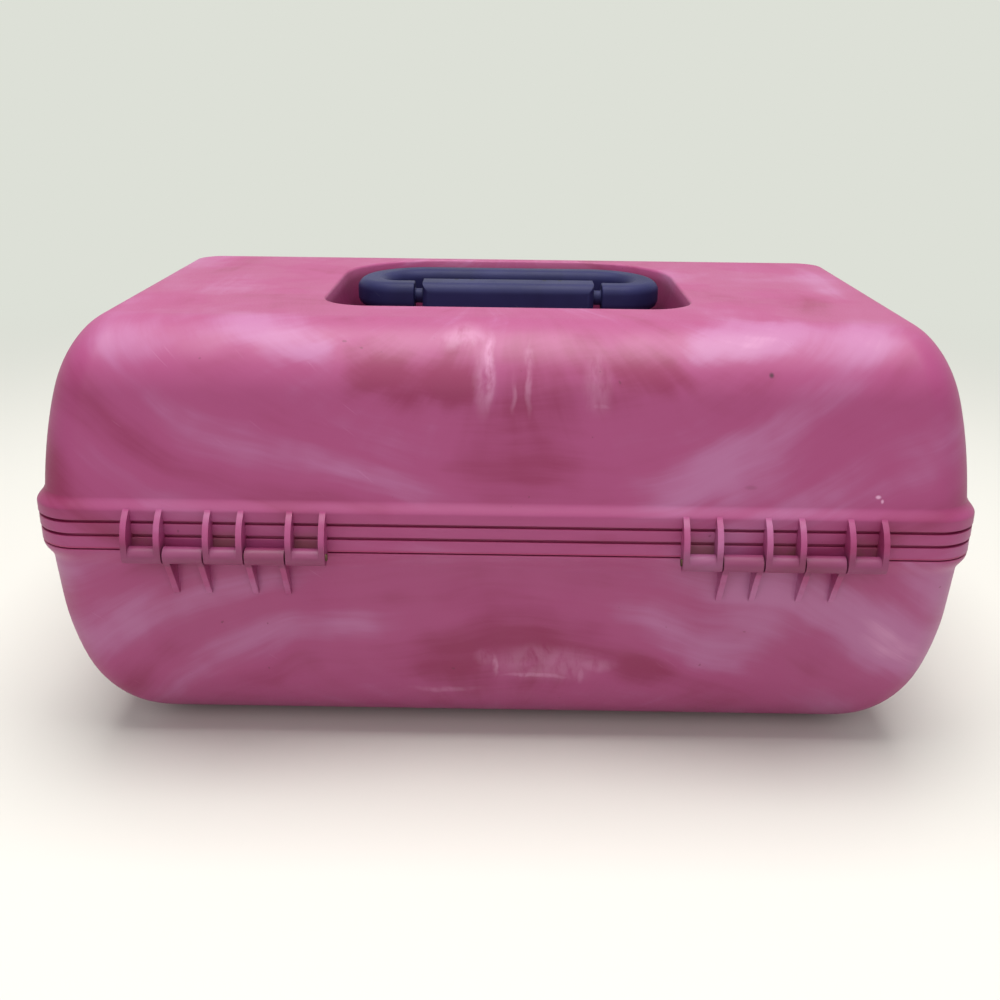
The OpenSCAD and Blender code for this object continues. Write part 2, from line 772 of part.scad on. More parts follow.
// Side outline of the bracket, with its long top edges rounded
module bracket_outline(low_z) {
    half = bracket_d / 2;
    translate([pivot_y, 0]) {
        translate([-half, low_z])
            square([bracket_d, case_h - bracket_round - low_z]);
        translate([-half + bracket_round, low_z])
            square([bracket_d - 2 * bracket_round, case_h - low_z]);
        for (s = [-1, 1])
            translate([s * (half - bracket_round), case_h - bracket_round])
                circle(bracket_round);
    }
}

// Upright block with the bracket's plan outline
module bracket_plan(low_z, high_z) {
    translate([0, pivot_y, low_z])
        linear_extrude(high_z - low_z)
            rounded_rect(bracket_w, bracket_d, bracket_corner_r);
}

// Column at each tongue, grown by gap at its sides and by past at the rest
module tongue_columns(gap, past, low_z) {
    for (s = [-1, 1])
        translate([s * tongue_x - tongue_w / 2 - gap, pivot_y - bracket_d / 2 - past, low_z])
            cube([tongue_w + 2 * gap, tongue_t + 2 * past, case_h - low_z + past]);
}

module handle_bracket() color(navy)
    difference() {
        intersection() {
            side_profile(-bracket_w / 2, bracket_w)
                bracket_outline(bracket_z);
            bracket_plan(bracket_z, case_h);
        }
        tongue_columns(tongue_gap, tongue_back_gap, bracket_z - over);
        for (s = [-1, 1])
            cross_rod(s > 0 ? bracket_w / 2 - stub_in - stub_clear : -bracket_w / 2 - over,
                      pivot_y, pivot_z, stub_r + stub_clear, stub_in + stub_clear + over);
    }

module bracket_foot() color(navy)
    difference() {
        union() {
            bracket_plan(well_floor_z, bracket_z);
            intersection() {
                tongue_columns(0, 0, bracket_z - bite);
                side_profile(-bracket_w / 2, bracket_w)
                    bracket_outline(well_floor_z);
            }
        }
        for (x = [-screw_x, screw_x])
            translate([x, pivot_y, well_floor_z - over])
                cylinder(r = screw_r, h = screw_reach + over);
    }

module bracket_screws() color(metal)
    for (x = [-screw_x, screw_x])
        translate([x, pivot_y, well_under_z]) {
            cylinder(r = screw_r, h = wall + screw_reach);
            translate([0, 0, -screw_head_h])
                cylinder(r = screw_head_r, h = screw_head_h);
        }

// ---------- Latch ----------

// Side outline of the flap: plate, flared finger edge and hook in one
module flap_profile() {
    hook_y = keeper_y - hook_clear;
    translate([latch_y, latch_z])
        circle(latch_barrel_r);
    polygon([
        [flap_in_y, latch_z - latch_barrel_r / 2],
        [flap_in_y - latch_t, latch_z - latch_barrel_r / 4],
        [flap_in_y - latch_t, flap_foot_z + 2 * latch_flare],
        [flap_in_y - latch_t - latch_flare, flap_foot_z],
        [flap_in_y - latch_flare, flap_foot_z],
        [flap_in_y, flap_foot_z + 2 * latch_flare],
        [flap_in_y, hook_z - hook_h],
        [hook_y, hook_z - hook_h / 3],
        [hook_y, hook_z],
        [flap_in_y, hook_z]]);
}

// Front outline of the flap, with rounded lower corners
module flap_front() {
    top_z = latch_z + latch_barrel_r + over;
    translate([0, latch_y + latch_t + over, 0])
        rotate([90, 0, 0])
            linear_extrude(4 * latch_t + latch_flare) {
                translate([-latch_w / 2, flap_foot_z + latch_corner_r])
                    square([latch_w, top_z - flap_foot_z - latch_corner_r]);
                translate([-latch_w / 2 + latch_corner_r, flap_foot_z])
                    square([latch_w - 2 * latch_corner_r, latch_corner_r + bite]);
                for (x = [-1, 1])
                    translate([x * (latch_w / 2 - latch_corner_r), flap_foot_z + latch_corner_r])
                        circle(latch_corner_r);
            }
}

// Shallow grooves across the flap that a finger catches on
module flap_grooves() {
    for (i = [0:2])
        cross_rod(-latch_w / 2 + latch_corner_r, flap_in_y - latch_t,
                  flap_foot_z + 2 * latch_flare + (i + 1) * flap_groove_pitch,
                  flap_groove_r, latch_w - 2 * latch_corner_r);
}

module latch_flap() color(navy)
    difference() {
        intersection() {
            side_profile(-latch_w / 2, latch_w)
                flap_profile();
            flap_front();
        }
        cross_rod(-latch_w / 2 - over, latch_y, latch_z, latch_pin_r + pin_clear, latch_w + 2 * over);
        flap_grooves();
    }

module latch_pin() color(metal) {
    half = latch_w / 2 + knuckle_gap + ear_t;
    cross_rod(-half, latch_y, latch_z, latch_pin_r, 2 * half);
}

// ---------- Tray and links ----------

// Pocket of the tray from a lower to an upper corner
module pocket(x0, x1, y0, y1) {
    translate([(x0 + x1) / 2, (y0 + y1) / 2, tray_z + tray_wall])
        linear_extrude(tray_h)
            rounded_rect(x1 - x0, y1 - y0, tray_corner_r - tray_wall);
}

// Row of equal pockets across the tray
module pocket_row(count, y0, y1) {
    span = tray_w - tray_wall;
    for (i = [0:count - 1])
        pocket(-span / 2 + i * span / count + tray_wall / 2,
               -span / 2 + (i + 1) * span / count - tray_wall / 2, y0, y1);
}

// Guides for a loose divider, on both long walls of the middle row
module divider_guides(x, y0, y1) {
    gap = divider_t / 2 + divider_clear;
    for (s = [-1, 1], wall_y = [y0 - bite, y1 - guide_out])
        translate([x + (s > 0 ? gap : -gap - guide_t), wall_y, tray_z + tray_wall - bite])
            cube([guide_t, guide_out + bite, divider_h + bite]);
}

module tray() color(smoke) {
    front_y0 = tray_front + tray_wall;
    mid_y0 = front_y0 + front_row_d + tray_wall;
    back_y1 = tray_back - tray_wall;
    mid_y1 = back_y1 - back_row_d - tray_wall;
    difference() {
        translate([0, tray_mid, tray_z])
            linear_extrude(tray_h)
                rounded_rect(tray_w, tray_d, tray_corner_r);
        pocket_row(4, front_y0, front_y0 + front_row_d);
        pocket_row(1, mid_y0, mid_y1);
        pocket_row(3, back_y1 - back_row_d, back_y1);
        for (s = [-1, 1]) {
            cross_rod(s > 0 ? tray_end - tray_wall - over : -tray_end - over,
                      lug_y, lug_z, rivet_r + rivet_clear, tray_wall + 2 * over);
            cross_rod(s > 0 ? tray_end - tray_wall - over : -tray_end - over,
                      link_y, link_z, rivet_r, tray_wall + 2 * over);
        }
    }
    for (s = [-1, 1])
        divider_guides(s * tray_w / 6, mid_y0, mid_y1);
}

module tray_divider(s) color(smoke) {
    mid_y0 = tray_front + 2 * tray_wall + front_row_d + divider_clear;
    mid_y1 = tray_back - 2 * tray_wall - back_row_d - divider_clear;
    translate([s * tray_w / 6 - divider_t / 2, mid_y0, tray_z + tray_wall])
        cube([divider_t, mid_y1 - mid_y0, divider_h]);
}

module tray_divider_left() tray_divider(-1);

module tray_divider_right() tray_divider(1);

// Flat arm with round ends from the base's boss to the tray
module link_outline() {
    len = norm([lug_fwd, lug_up]);
    translate([foot_y, foot_z])
        rotate(atan2(lug_up, -lug_fwd))
            difference() {
                union() {
                    circle(link_w / 2);
                    translate([len, 0])
                        circle(link_w / 2);
                    translate([0, -link_w / 2])
                        square([len, link_w]);
                }
                circle(rivet_r + rivet_clear);
                translate([len, 0])
                    circle(rivet_r + rivet_clear);
            }
}

module link(s) color(smoke)
    side_profile(s > 0 ? link_in_x : -link_out_x, link_t)
        link_outline();

module link_left() link(-1);

module link_right() link(1);

// Rivet along X whose head lies at head_x and whose shank runs out from it by len.
// s is the side of the case, and dir is 1 where the shank runs outwards.
module rivet(s, head_x, y, z, len, dir) color(metal)
    mirror([s < 0 ? 1 : 0, 0, 0]) {
        cross_rod(dir > 0 ? head_x : head_x - len, y, z, rivet_r, len);
        cross_rod(dir > 0 ? head_x - rivet_head_h : head_x, y, z, rivet_head_r, rivet_head_h);
    }

module base_rivet(s)
    rivet(s, link_in_x - rivet_clear, foot_y, foot_z, link_t + link_gap + rivet_in + rivet_clear, 1);

module base_rivet_left() base_rivet(-1);

module base_rivet_right() base_rivet(1);

module tray_rivet(s)
    rivet(s, link_out_x + rivet_clear, link_y, link_z, link_t + link_gap + tray_wall + rivet_clear, -1);

module tray_rivet_left() tray_rivet(-1);

module tray_rivet_right() tray_rivet(1);

module lid_rivet(s)
    rivet(s, tray_end - tray_wall - rivet_clear, lug_y, lug_z,
          tray_wall + link_gap + rivet_in + rivet_clear, 1);

module lid_rivet_left() lid_rivet(-1);

module lid_rivet_right() lid_rivet(1);

// ---------- Mirror ----------

module mirror_frame() color(plum) {
    glass_w = mirror_w - 2 * mirror_border;
    glass_d = mirror_d - 2 * mirror_border;
    difference() {
        translate([0, pivot_y, mirror_z])
            linear_extrude(mirror_t)
                rounded_rect(mirror_w, mirror_d, mirror_corner_r);
        translate([0, pivot_y, mirror_z - over])
            linear_extrude(over + glass_t)
                rounded_rect(glass_w + 2 * glass_clear, glass_d + 2 * glass_clear,
                             mirror_corner_r - mirror_border / 2);
    }
    for (x = [-post_x, post_x], y = [-post_y, post_y])
        translate([x, pivot_y + y, mirror_top_z - bite])
            cylinder(r = peg_r, h = peg_h + bite);
}

module mirror_glass() color(silver)
    translate([0, pivot_y, mirror_z])
        linear_extrude(glass_t)
            rounded_rect(mirror_w - 2 * mirror_border, mirror_d - 2 * mirror_border,
                         mirror_corner_r - mirror_border / 2);

base_shell();
lid_shell();
hinge_pin_left();
hinge_pin_right();
handle_bail();
handle_bracket();
bracket_foot();
bracket_screws();
latch_flap();
latch_pin();
tray();
tray_divider_left();
tray_divider_right();
link_left();
link_right();
base_rivet_left();
base_rivet_right();
tray_rivet_left();
tray_rivet_right();
lid_rivet_left();
lid_rivet_right();
mirror_frame();
mirror_glass();
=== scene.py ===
"""Dresses the make-up case: smooth moulded shells, soft edges, marbled plastic, floor, light and camera.

Every length is in metres, in the case's own frame: the case stands on z = 0, the latch
faces -Y and the hinge +Y, and the camera looks at the hinge side.
"""

from __future__ import annotations

import logging
import math
from dataclasses import dataclass
from enum import Enum
from typing import Callable, Sequence

import bmesh
import bpy
from bmesh.types import BMEdge, BMesh, BMVert
from mathutils import Matrix, Vector

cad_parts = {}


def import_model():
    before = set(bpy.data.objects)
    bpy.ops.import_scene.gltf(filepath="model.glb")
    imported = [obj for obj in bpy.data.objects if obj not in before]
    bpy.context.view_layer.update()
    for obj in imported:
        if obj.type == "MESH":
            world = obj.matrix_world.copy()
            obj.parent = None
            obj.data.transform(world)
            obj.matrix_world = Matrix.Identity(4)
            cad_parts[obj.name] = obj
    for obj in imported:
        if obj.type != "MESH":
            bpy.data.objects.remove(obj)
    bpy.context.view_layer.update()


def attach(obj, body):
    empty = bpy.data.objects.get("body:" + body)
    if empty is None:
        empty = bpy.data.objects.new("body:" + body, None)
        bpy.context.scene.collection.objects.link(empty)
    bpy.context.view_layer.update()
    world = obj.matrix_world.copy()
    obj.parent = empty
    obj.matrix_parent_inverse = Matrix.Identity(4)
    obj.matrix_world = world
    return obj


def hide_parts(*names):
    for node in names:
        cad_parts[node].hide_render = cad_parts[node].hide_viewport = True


LOG = logging.getLogger("makeup_case")

Colour = tuple[float, float, float]
# Where a fade starts and where it ends
Fade = tuple[float, float]
# A point of a wall's profile: inset at the ends, inset at the faces, and height
Station = tuple[float, float, float]
Socket = bpy.types.NodeSocket

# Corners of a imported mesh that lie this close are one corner
MERGE = 1e-6
# Corners this close to a cut's plane lie on it
ON_PLANE = 1e-7
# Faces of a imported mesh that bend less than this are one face
FLAT = math.radians(1.2)
# Edges that bend more than this are hard
SHARP = math.radians(32.0)
# Height between two outlines while they are bridged
LOFT_STEP = 0.02
# How much of a side the rounding of one of its corners may take
CORNER_SHARE = 0.45
# How far a part that stands on a shell reaches into its wall
ROOT = 0.001

CORNER_STEPS = 14
SWING_STEPS = 10
WELL_STEPS = 5
EDGE_STEPS = 2
BOSS_SIDES = 40
POST_SIDES = 36


class Body(Enum):
    """The bodies that pieces ride on."""

    BASE = "case_base"
    LID = "lid"
    HANDLE = "handle"
    LATCH = "latch"
    LINKS = "links"
    TRAY = "tray_body"


class Slot(Enum):
    """The record's material slots."""

    PLUM_BASE = "plum_base"
    PLUM_LID = "plum_lid"
    NAVY = "navy_plastic"
    TRAY = "tray_plastic"
    PIN = "pin_metal"
    MIRROR = "mirror"


def srgb(red: int, green: int, blue: int) -> Colour:
    """Turns a colour as seen on a screen, 0 to 255, into Blender's linear values.

    Args:
        red: Red, 0 to 255.
        green: Green, 0 to 255.
        blue: Blue, 0 to 255.

    Returns:
        The linear colour.
    """

    def linear(level: int) -> float:
        """One channel."""
        share = level / 255
        return share / 12.92 if share <= 0.04045 else ((share + 0.055) / 1.055) ** 2.4

    return linear(red), linear(green), linear(blue)


# ---------------------------------------------------------------- mesh tools


@dataclass(frozen=True)
class Outline:
    """Closed outline with rounded corners.

    Attributes:
        half: Half its width and half its depth.
        radii: Corner radius at the -Y side and at the +Y side.
        z: Its height.
        centre_y: Where its middle lies along Y.
    """

    half: tuple[float, float]
    radii: tuple[float, float]
    z: float
    centre_y: float = 0.0

    def draw(self, bm: BMesh, z: float) -> list[BMEdge]:
        """Adds the outline to a mesh.

        Args:
            bm: The mesh to add to.
            z: The height at which it is drawn.

        Returns:
            Its edges.
        """
        corners = bmesh.ops.create_grid(bm, x_segments=1, y_segments=1, size=1.0)["verts"]
        front = [v for v in corners if v.co.y < 0]
        back = [v for v in corners if v.co.y > 0]
        for v in corners:
            v.co = Vector((v.co.x * self.half[0], self.centre_y + v.co.y * self.half[1], z))
        for chosen, radius in ((front, self.radii[0]), (back, self.radii[1])):
            made = bmesh.ops.bevel(
                bm,
                geom=chosen,
                offset=radius,
                offset_type="OFFSET",
                segments=CORNER_STEPS,
                profile=0.5,
                affect="VERTICES",
                material=-1,
            )["verts"]
        face = made[0].link_faces[0]
        loop = list(face.edges)
        bmesh.ops.delete(bm, geom=[face], context="FACES_ONLY")
        return loop


def loft(bm: BMesh, outlines: Sequence[Outline]) -> None:
    """Skins a row of outlines and closes both ends.

    The outlines are bridged one above the other and then pressed to their own heights,
    because two of the same height don't say which way they face.

    Args:
        bm: The mesh to add to.
        outlines: The outlines, in order.
    """
    loops = [outline.draw(bm, i * LOFT_STEP) for i, outline in enumerate(outlines)]
    for low, high in zip(loops, loops[1:]):
        bmesh.ops.bridge_loops(bm, edges=low + high)
    for end in (loops[0], loops[-1]):
        bmesh.ops.contextual_create(bm, geom=end)
    for loop, outline in zip(loops, outlines):
        for vert in {vert for edge in loop for vert in edge.verts}:
            vert.co.z = outline.z


def eased(points: Sequence[Station], radius: float, steps: int = 3) -> list[Station]:
    """Rounds the inner corners of a profile.

    Args:
        points: The profile's corners as (inset at the ends, inset at the faces, height).
        radius: How far from each corner the rounding starts.
        steps: Segments in each rounding.

    Returns:
        The profile with each corner turned into a short curve.
    """
    out: list[Station] = [points[0]]
    for before, here, after in zip(points, points[1:], points[2:]):
        p, a, b = Vector(here), Vector(before), Vector(after)
        start = p + (a - p).normalized() * min(radius, (a - p).length * CORNER_SHARE)
        end = p + (b - p).normalized() * min(radius, (b - p).length * CORNER_SHARE)
        for i in range(steps + 1):
            t = i / steps
            q = start * (1 - t) ** 2 + p * 2 * t * (1 - t) + end * t**2
            out.append((q.x, q.y, q.z))
    out.append(points[-1])
    return out


def swing(start: tuple[float, float], end: tuple[float, float]) -> list[Station]:
    """Profile that swings smoothly from one inset and height to another.

    Args:
        start: Inset and height where it starts.
        end: Inset and height where it ends.

    Returns:
        The stations, both ends included.
    """
    out: list[Station] = []
    for i in range(SWING_STEPS + 1):
        t = i / SWING_STEPS
        inset = start[0] + (end[0] - start[0]) * (1 - math.cos(math.pi * t)) / 2
        out.append((inset, inset, start[1] + (end[1] - start[1]) * t))
    return out


def cylinder(bm: BMesh, place: Matrix, length: float, radius: float, sides: int) -> None:
    """Adds a closed cylinder.

    Args:
        bm: The mesh to add to.
        place: Where its middle lies, and how it is turned from upright.
        length: How long it is.
        radius: Its radius.
        sides: Sides round it.
    """
    bmesh.ops.create_cone(
        bm, cap_ends=True, segments=sides, radius1=radius, radius2=radius, depth=length, matrix=place
    )


def packed_mesh(node: str) -> BMesh:
    """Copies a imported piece's mesh and joins its triangles at their corners.

    Args:
        node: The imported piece.

    Returns:
        The new mesh.
    """
    bm = bmesh.new()
    bm.from_mesh(bpy.data.objects[node].data)
    bmesh.ops.remove_doubles(bm, verts=bm.verts, dist=MERGE)
    return bm


def join_flat(bm: BMesh) -> BMesh:
    """Joins the triangles of each flat face.

    Args:
        bm: The mesh.

    Returns:
        The same mesh.
    """
    bmesh.ops.dissolve_limit(
        bm, angle_limit=FLAT, verts=bm.verts, edges=bm.edges, use_dissolve_boundaries=False
    )
    return bm


def new_piece(name: str, bm: BMesh, body: Body, material: bpy.types.Material) -> bpy.types.Object:
    """Turns a finished mesh into a piece of the case.

    Args:
        name: The piece's name.
        bm: Its mesh, which is freed.
        body: The body that it rides on.
        material: Its material.

    Returns:
        The object.
    """
    bmesh.ops.recalc_face_normals(bm, faces=bm.faces)
    for edge in bm.edges:
        edge.smooth = not (len(edge.link_faces) == 2 and edge.calc_face_angle() > SHARP)
    for face in bm.faces:
        face.smooth = True
    mesh = bpy.data.meshes.new(name)
    bm.to_mesh(mesh)
    bm.free()
    mesh.materials.append(material)
    obj = bpy.data.objects.new(name, mesh)
    bpy.context.scene.collection.objects.link(obj)
    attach(obj, body.value)
    LOG.info("%s: %d faces on %s", name, len(mesh.polygons), body.value)
    return obj


def even_shading(obj: bpy.types.Object) -> None:
    """Keeps flat faces flat next to rounded ones, in how they take the light.

    Args:
        obj: The piece.
    """
    normals = obj.modifiers.new("even_shading", "WEIGHTED_NORMAL")
    normals.keep_sharp = True


def outgrowth(node: str, cuts: Sequence[tuple[Vector, Vector]], sink: Vector) -> BMesh:
    """Cuts what stands out of a packed shell, and sinks its cut edges back into the wall.

    Args:
        node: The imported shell.
        cuts: For each cut, a point on its plane and the direction of the side that stays.
        sink: How far the cut edges are drawn inwards.

    Returns:
        The new mesh.
    """
    bm = packed_mesh(node)
    for point, keep in cuts:
        whole = [*bm.verts, *bm.edges, *bm.faces]
        bmesh.ops.bisect_plane(
            bm, geom=whole, dist=ON_PLANE, plane_co=point, plane_no=keep, clear_inner=True
        )
    sunk = []
    # Extruded all at once, the rim's faces come in another order on every run.
    for edge in [edge for edge in bm.edges if edge.is_boundary]:
        made = bmesh.ops.extrude_edge_only(bm, edges=[edge])["geom"]
        sunk += [item for item in made if isinstance(item, BMVert)]
    bmesh.ops.translate(bm, vec=sink, verts=sunk)
    bmesh.ops.remove_doubles(bm, verts=sunk, dist=ON_PLANE)
    return join_flat(bm)


def face_outgrowth(node: str, y: float, sink: float) -> BMesh:
    """Cuts what stands out of the hinge's or the latch's side of a packed shell.

    Args:
        node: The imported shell.
        y: Where the cut lies: over 0 on the hinge's side, under 0 on the latch's.
        sink: How far the cut edges are drawn inwards.

    Returns:
        The new mesh.
    """
    outwards = Vector((0, math.copysign(1.0, y), 0))
    return outgrowth(node, [(Vector((0, y, 0)), outwards)], outwards * -sink)


def soften(obj: bpy.types.Object, width: float) -> None:
    """Rounds a piece's hard edges.

    Args:
        obj: The piece.
        width: Width of the rounding.
    """
    bevel = obj.modifiers.new("soft_edges", "BEVEL")
    bevel.width = width
    bevel.segments = EDGE_STEPS
    bevel.limit_method = "ANGLE"
    bevel.angle_limit = SHARP
    bevel.harden_normals = True


def soft_parts(
    parts: Sequence[tuple[str, BMesh, float]], body: Body, material: bpy.types.Material
) -> list[bpy.types.Object]:
    """Makes the parts that stand on a shell.

    Args:
        parts: Name, mesh and width of the rounded edges of each.
        body: The body that they ride on.
        material: Their finish.

    Returns:
        The pieces.
    """
    pieces = []
    for name, bm, edge in parts:
        piece = new_piece(name, bm, body, material)
        soften(piece, edge)
        pieces.append(piece)
    return pieces


# ---------------------------------------------------------------- finishes


class Nodes:
    """Places and joins the nodes of one material or node group."""

    def __init__(self, tree: bpy.types.NodeTree) -> None:
        """Starts on a node tree."""
        self.tree = tree

    def add(self, kind: str, **settings: object) -> bpy.types.Node:
        """Adds a node.

        Args:
            kind: Its type, with or without the ShaderNode prefix.
            **settings: Its properties.

        Returns:
            The node.
        """
        name = kind if kind.startswith("NodeGroup") else "ShaderNode" + kind
        node = self.tree.nodes.new(name)
        for key, value in settings.items():
            setattr(node, key, value)
        return node

    def put(self, item: object, target: Socket) -> None:
        """Joins a socket to an input, or sets a number or colour there.

        Args:
            item: A socket, a number or a colour.
            target: The input.
        """
        if isinstance(item, Socket):
            self.tree.links.new(item, target)
        elif isinstance(item, tuple):
            target.default_value = (*item, 1.0) if len(item) < len(target.default_value) else item
        else:
            target.default_value = float(item)

    def math(self, operation: str, first: object, second: object = 0.0, clamp: bool = False) -> Socket:
        """Works out one number from one or two.

        Args:
            operation: The Math node's operation.
            first: A socket or a number.
            second: A socket or a number.
            clamp: Keeps the result from 0 to 1.

        Returns:
            The result's socket.
        """
        node = self.add("Math", operation=operation, use_clamp=clamp)
        self.put(first, node.inputs[0])
        self.put(second, node.inputs[1])
        return node.outputs[0]

    def plus(self, first: object, second: object, clamp: bool = False) -> Socket:
        """Adds two numbers. With clamp, the result is kept from 0 to 1."""
        return self.math("ADD", first, second, clamp)

    def minus(self, first: object, second: object) -> Socket:
        """Takes the second number from the first."""
        return self.math("SUBTRACT", first, second)

    def times(self, first: object, second: object, clamp: bool = False) -> Socket:
        """Multiplies two numbers. With clamp, the result is kept from 0 to 1."""
        return self.math("MULTIPLY", first, second, clamp)

    def vector(self, operation: str, first: object, second: object = None) -> Socket:
        """Works out a vector, or with LENGTH a number.

        Args:
            operation: The Vector Math node's operation.
            first: A socket or a vector.
            second: A socket or a vector, and with SCALE a number. LENGTH takes none.

        Returns:
            The result's socket.
        """
        node = self.add("VectorMath", operation=operation)
        self.put(first, node.inputs[0])
        if second is not None:
            self.put(second, node.inputs["Scale" if operation == "SCALE" else 1])
        return node.outputs["Value" if operation == "LENGTH" else "Vector"]

    def ramp(self, source: Socket, low: float, high: float) -> Socket:
        """Maps low to high smoothly onto 0 to 1. A low over the high turns the ramp round.

        Args:
            source: The number.
            low: Where the result is 0.
            high: Where the result is 1.

        Returns:
            The result's socket.
        """
        node = self.add("MapRange", interpolation_type="SMOOTHSTEP")
        self.put(source, node.inputs["Value"])
        turned = low > high
        node.inputs["From Min"].default_value = min(low, high)
        node.inputs["From Max"].default_value = max(low, high)
        node.inputs["To Min"].default_value = 1.0 if turned else 0.0
        node.inputs["To Max"].default_value = 0.0 if turned else 1.0
        return node.outputs["Result"]

    def within(self, *edges: tuple[Socket, float, float]) -> Socket:
        """Finds where every one of several numbers is past its edge.

        Args:
            *edges: For each, the number, where its share is 0 and where it is 1.

        Returns:
            The shares' product.
        """
        mask = self.ramp(*edges[0])
        for edge in edges[1:]:
            mask = self.times(mask, self.ramp(*edge))
        return mask

    def noise(
        self, vector: Socket, scale: float, detail: float = 3.0, rough: float = 0.55, warp: float = 0.0
    ) -> Socket:
        """Adds a noise pattern.

        Args:
            vector: Where it is read.
            scale: Waves for each unit of that, which is a metre unless it was scaled.
            detail: Finer layers on top.
            rough: How strong those are.
            warp: How much it swirls.

        Returns:
            The pattern, mostly from 0.3 to 0.7.
        """
        node = self.add("TexNoise")
        self.put(vector, node.inputs["Vector"])
        for name, value in (("Scale", scale), ("Detail", detail), ("Roughness", rough), ("Distortion", warp)):
            node.inputs[name].default_value = value
        return node.outputs["Fac"]

    def swirled(self, where: Socket, waves: float, reach: float) -> Socket:
        """Moves a point a little, by a noise pattern, so that what is drawn there swirls.

        Args:
            where: The point.
            waves: Waves in a metre.
            reach: How far it may move.

        Returns:
            The moved point.
        """
        warp = self.add("TexNoise")
        warp.inputs["Scale"].default_value = waves
        warp.inputs["Detail"].default_value = 2.0
        self.put(where, warp.inputs["Vector"])
        centred = self.vector("SUBTRACT", warp.outputs["Color"], (0.5, 0.5, 0.5))
        return self.vector("ADD", where, self.vector("SCALE", centred, reach))

    def bump(self, height: Socket, strength: float, depth: float) -> Socket:
        """Turns a pattern of heights into normals.

        Args:
            height: The pattern.
            strength: How much of it counts, 0 to 1.
            depth: How deep a height of 1 is.

        Returns:
            The normals' socket.
        """
        node = self.add("Bump")
        node.inputs["Strength"].default_value = strength
        node.inputs["Distance"].default_value = depth
        self.put(height, node.inputs["Height"])
        return node.outputs["Normal"]

    def mix(self, share: object, first: object, second: object) -> Socket:
        """Mixes two colours.

        Args:
            share: How much of the second, a socket or a number.
            first: A colour or a socket.
            second: A colour or a socket.

        Returns:
            The mixed colour's socket.
        """
        node = self.add("Mix", data_type="RGBA")
        for key, item in ((0, share), (6, first), (7, second)):
            self.put(item, node.inputs[key])
        return node.outputs[2]

    def split(self, vector: Socket) -> tuple[Socket, Socket, Socket]:
        """Takes a vector apart.

        Args:
            vector: The vector.

        Returns:
            Its X, Y and Z.
        """
        node = self.add("SeparateXYZ")
        self.put(vector, node.inputs[0])
        return node.outputs[0], node.outputs[1], node.outputs[2]

    def join(self, x: object, y: object, z: object) -> Socket:
        """Puts a vector together.

        Args:
            x: A socket or a number.
            y: A socket or a number.
            z: A socket or a number.

        Returns:
            The vector.
        """
        node = self.add("CombineXYZ")
        for key, item in enumerate((x, y, z)):
            self.put(item, node.inputs[key])
        return node.outputs[0]

    def group(self, tree: bpy.types.NodeTree, **values: object) -> bpy.types.Node:
        """Adds a node group and fills its inputs.

        Args:
            tree: The group.
            **values: A socket or a number for each input, by name.

        Returns:
            The group's node.
        """
        node = self.add("Group", node_tree=tree)
        for name, value in values.items():
            self.put(value, node.inputs[name])
        return node


def new_material(name: str) -> tuple[bpy.types.Material, Nodes, bpy.types.Node]:
    """Starts a material.

    Args:
        name: Its name.

    Returns:
        The material, its nodes and its Principled shader.
    """
    material = bpy.data.materials.new(name)
    material.use_nodes = True
    return material, Nodes(material.node_tree), material.node_tree.nodes["Principled BSDF"]


def shared_group(
    name: str,
    inputs: Sequence[tuple[str, str, object]],
    outputs: Sequence[str],
    fill: Callable[[Nodes, bpy.types.NodeOutputs, bpy.types.NodeInputs], None],
) -> bpy.types.NodeTree:
    """Finds a node group of numbers and masks, or makes it the first time.

    Args:
        name: Its name.
        inputs: Name, kind (Float or Vector) and default of each input.
        outputs: Name of each output, which are all numbers.
        fill: Makes its nodes, between what is given and its results.

    Returns:
        The group.
    """
    found = bpy.data.node_groups.get(name)
    if found:
        return found
    tree = bpy.data.node_groups.new(name, "ShaderNodeTree")
    for label, kind, default in inputs:
        socket = tree.interface.new_socket(label, in_out="INPUT", socket_type="NodeSocket" + kind)
        if default is not None:
            socket.default_value = default
    for label in outputs:
        tree.interface.new_socket(label, in_out="OUTPUT", socket_type="NodeSocketFloat")
    n = Nodes(tree)
    given, result = n.add("NodeGroupInput"), n.add("NodeGroupOutput")
    fill(n, given.outputs, result.inputs)
    return tree


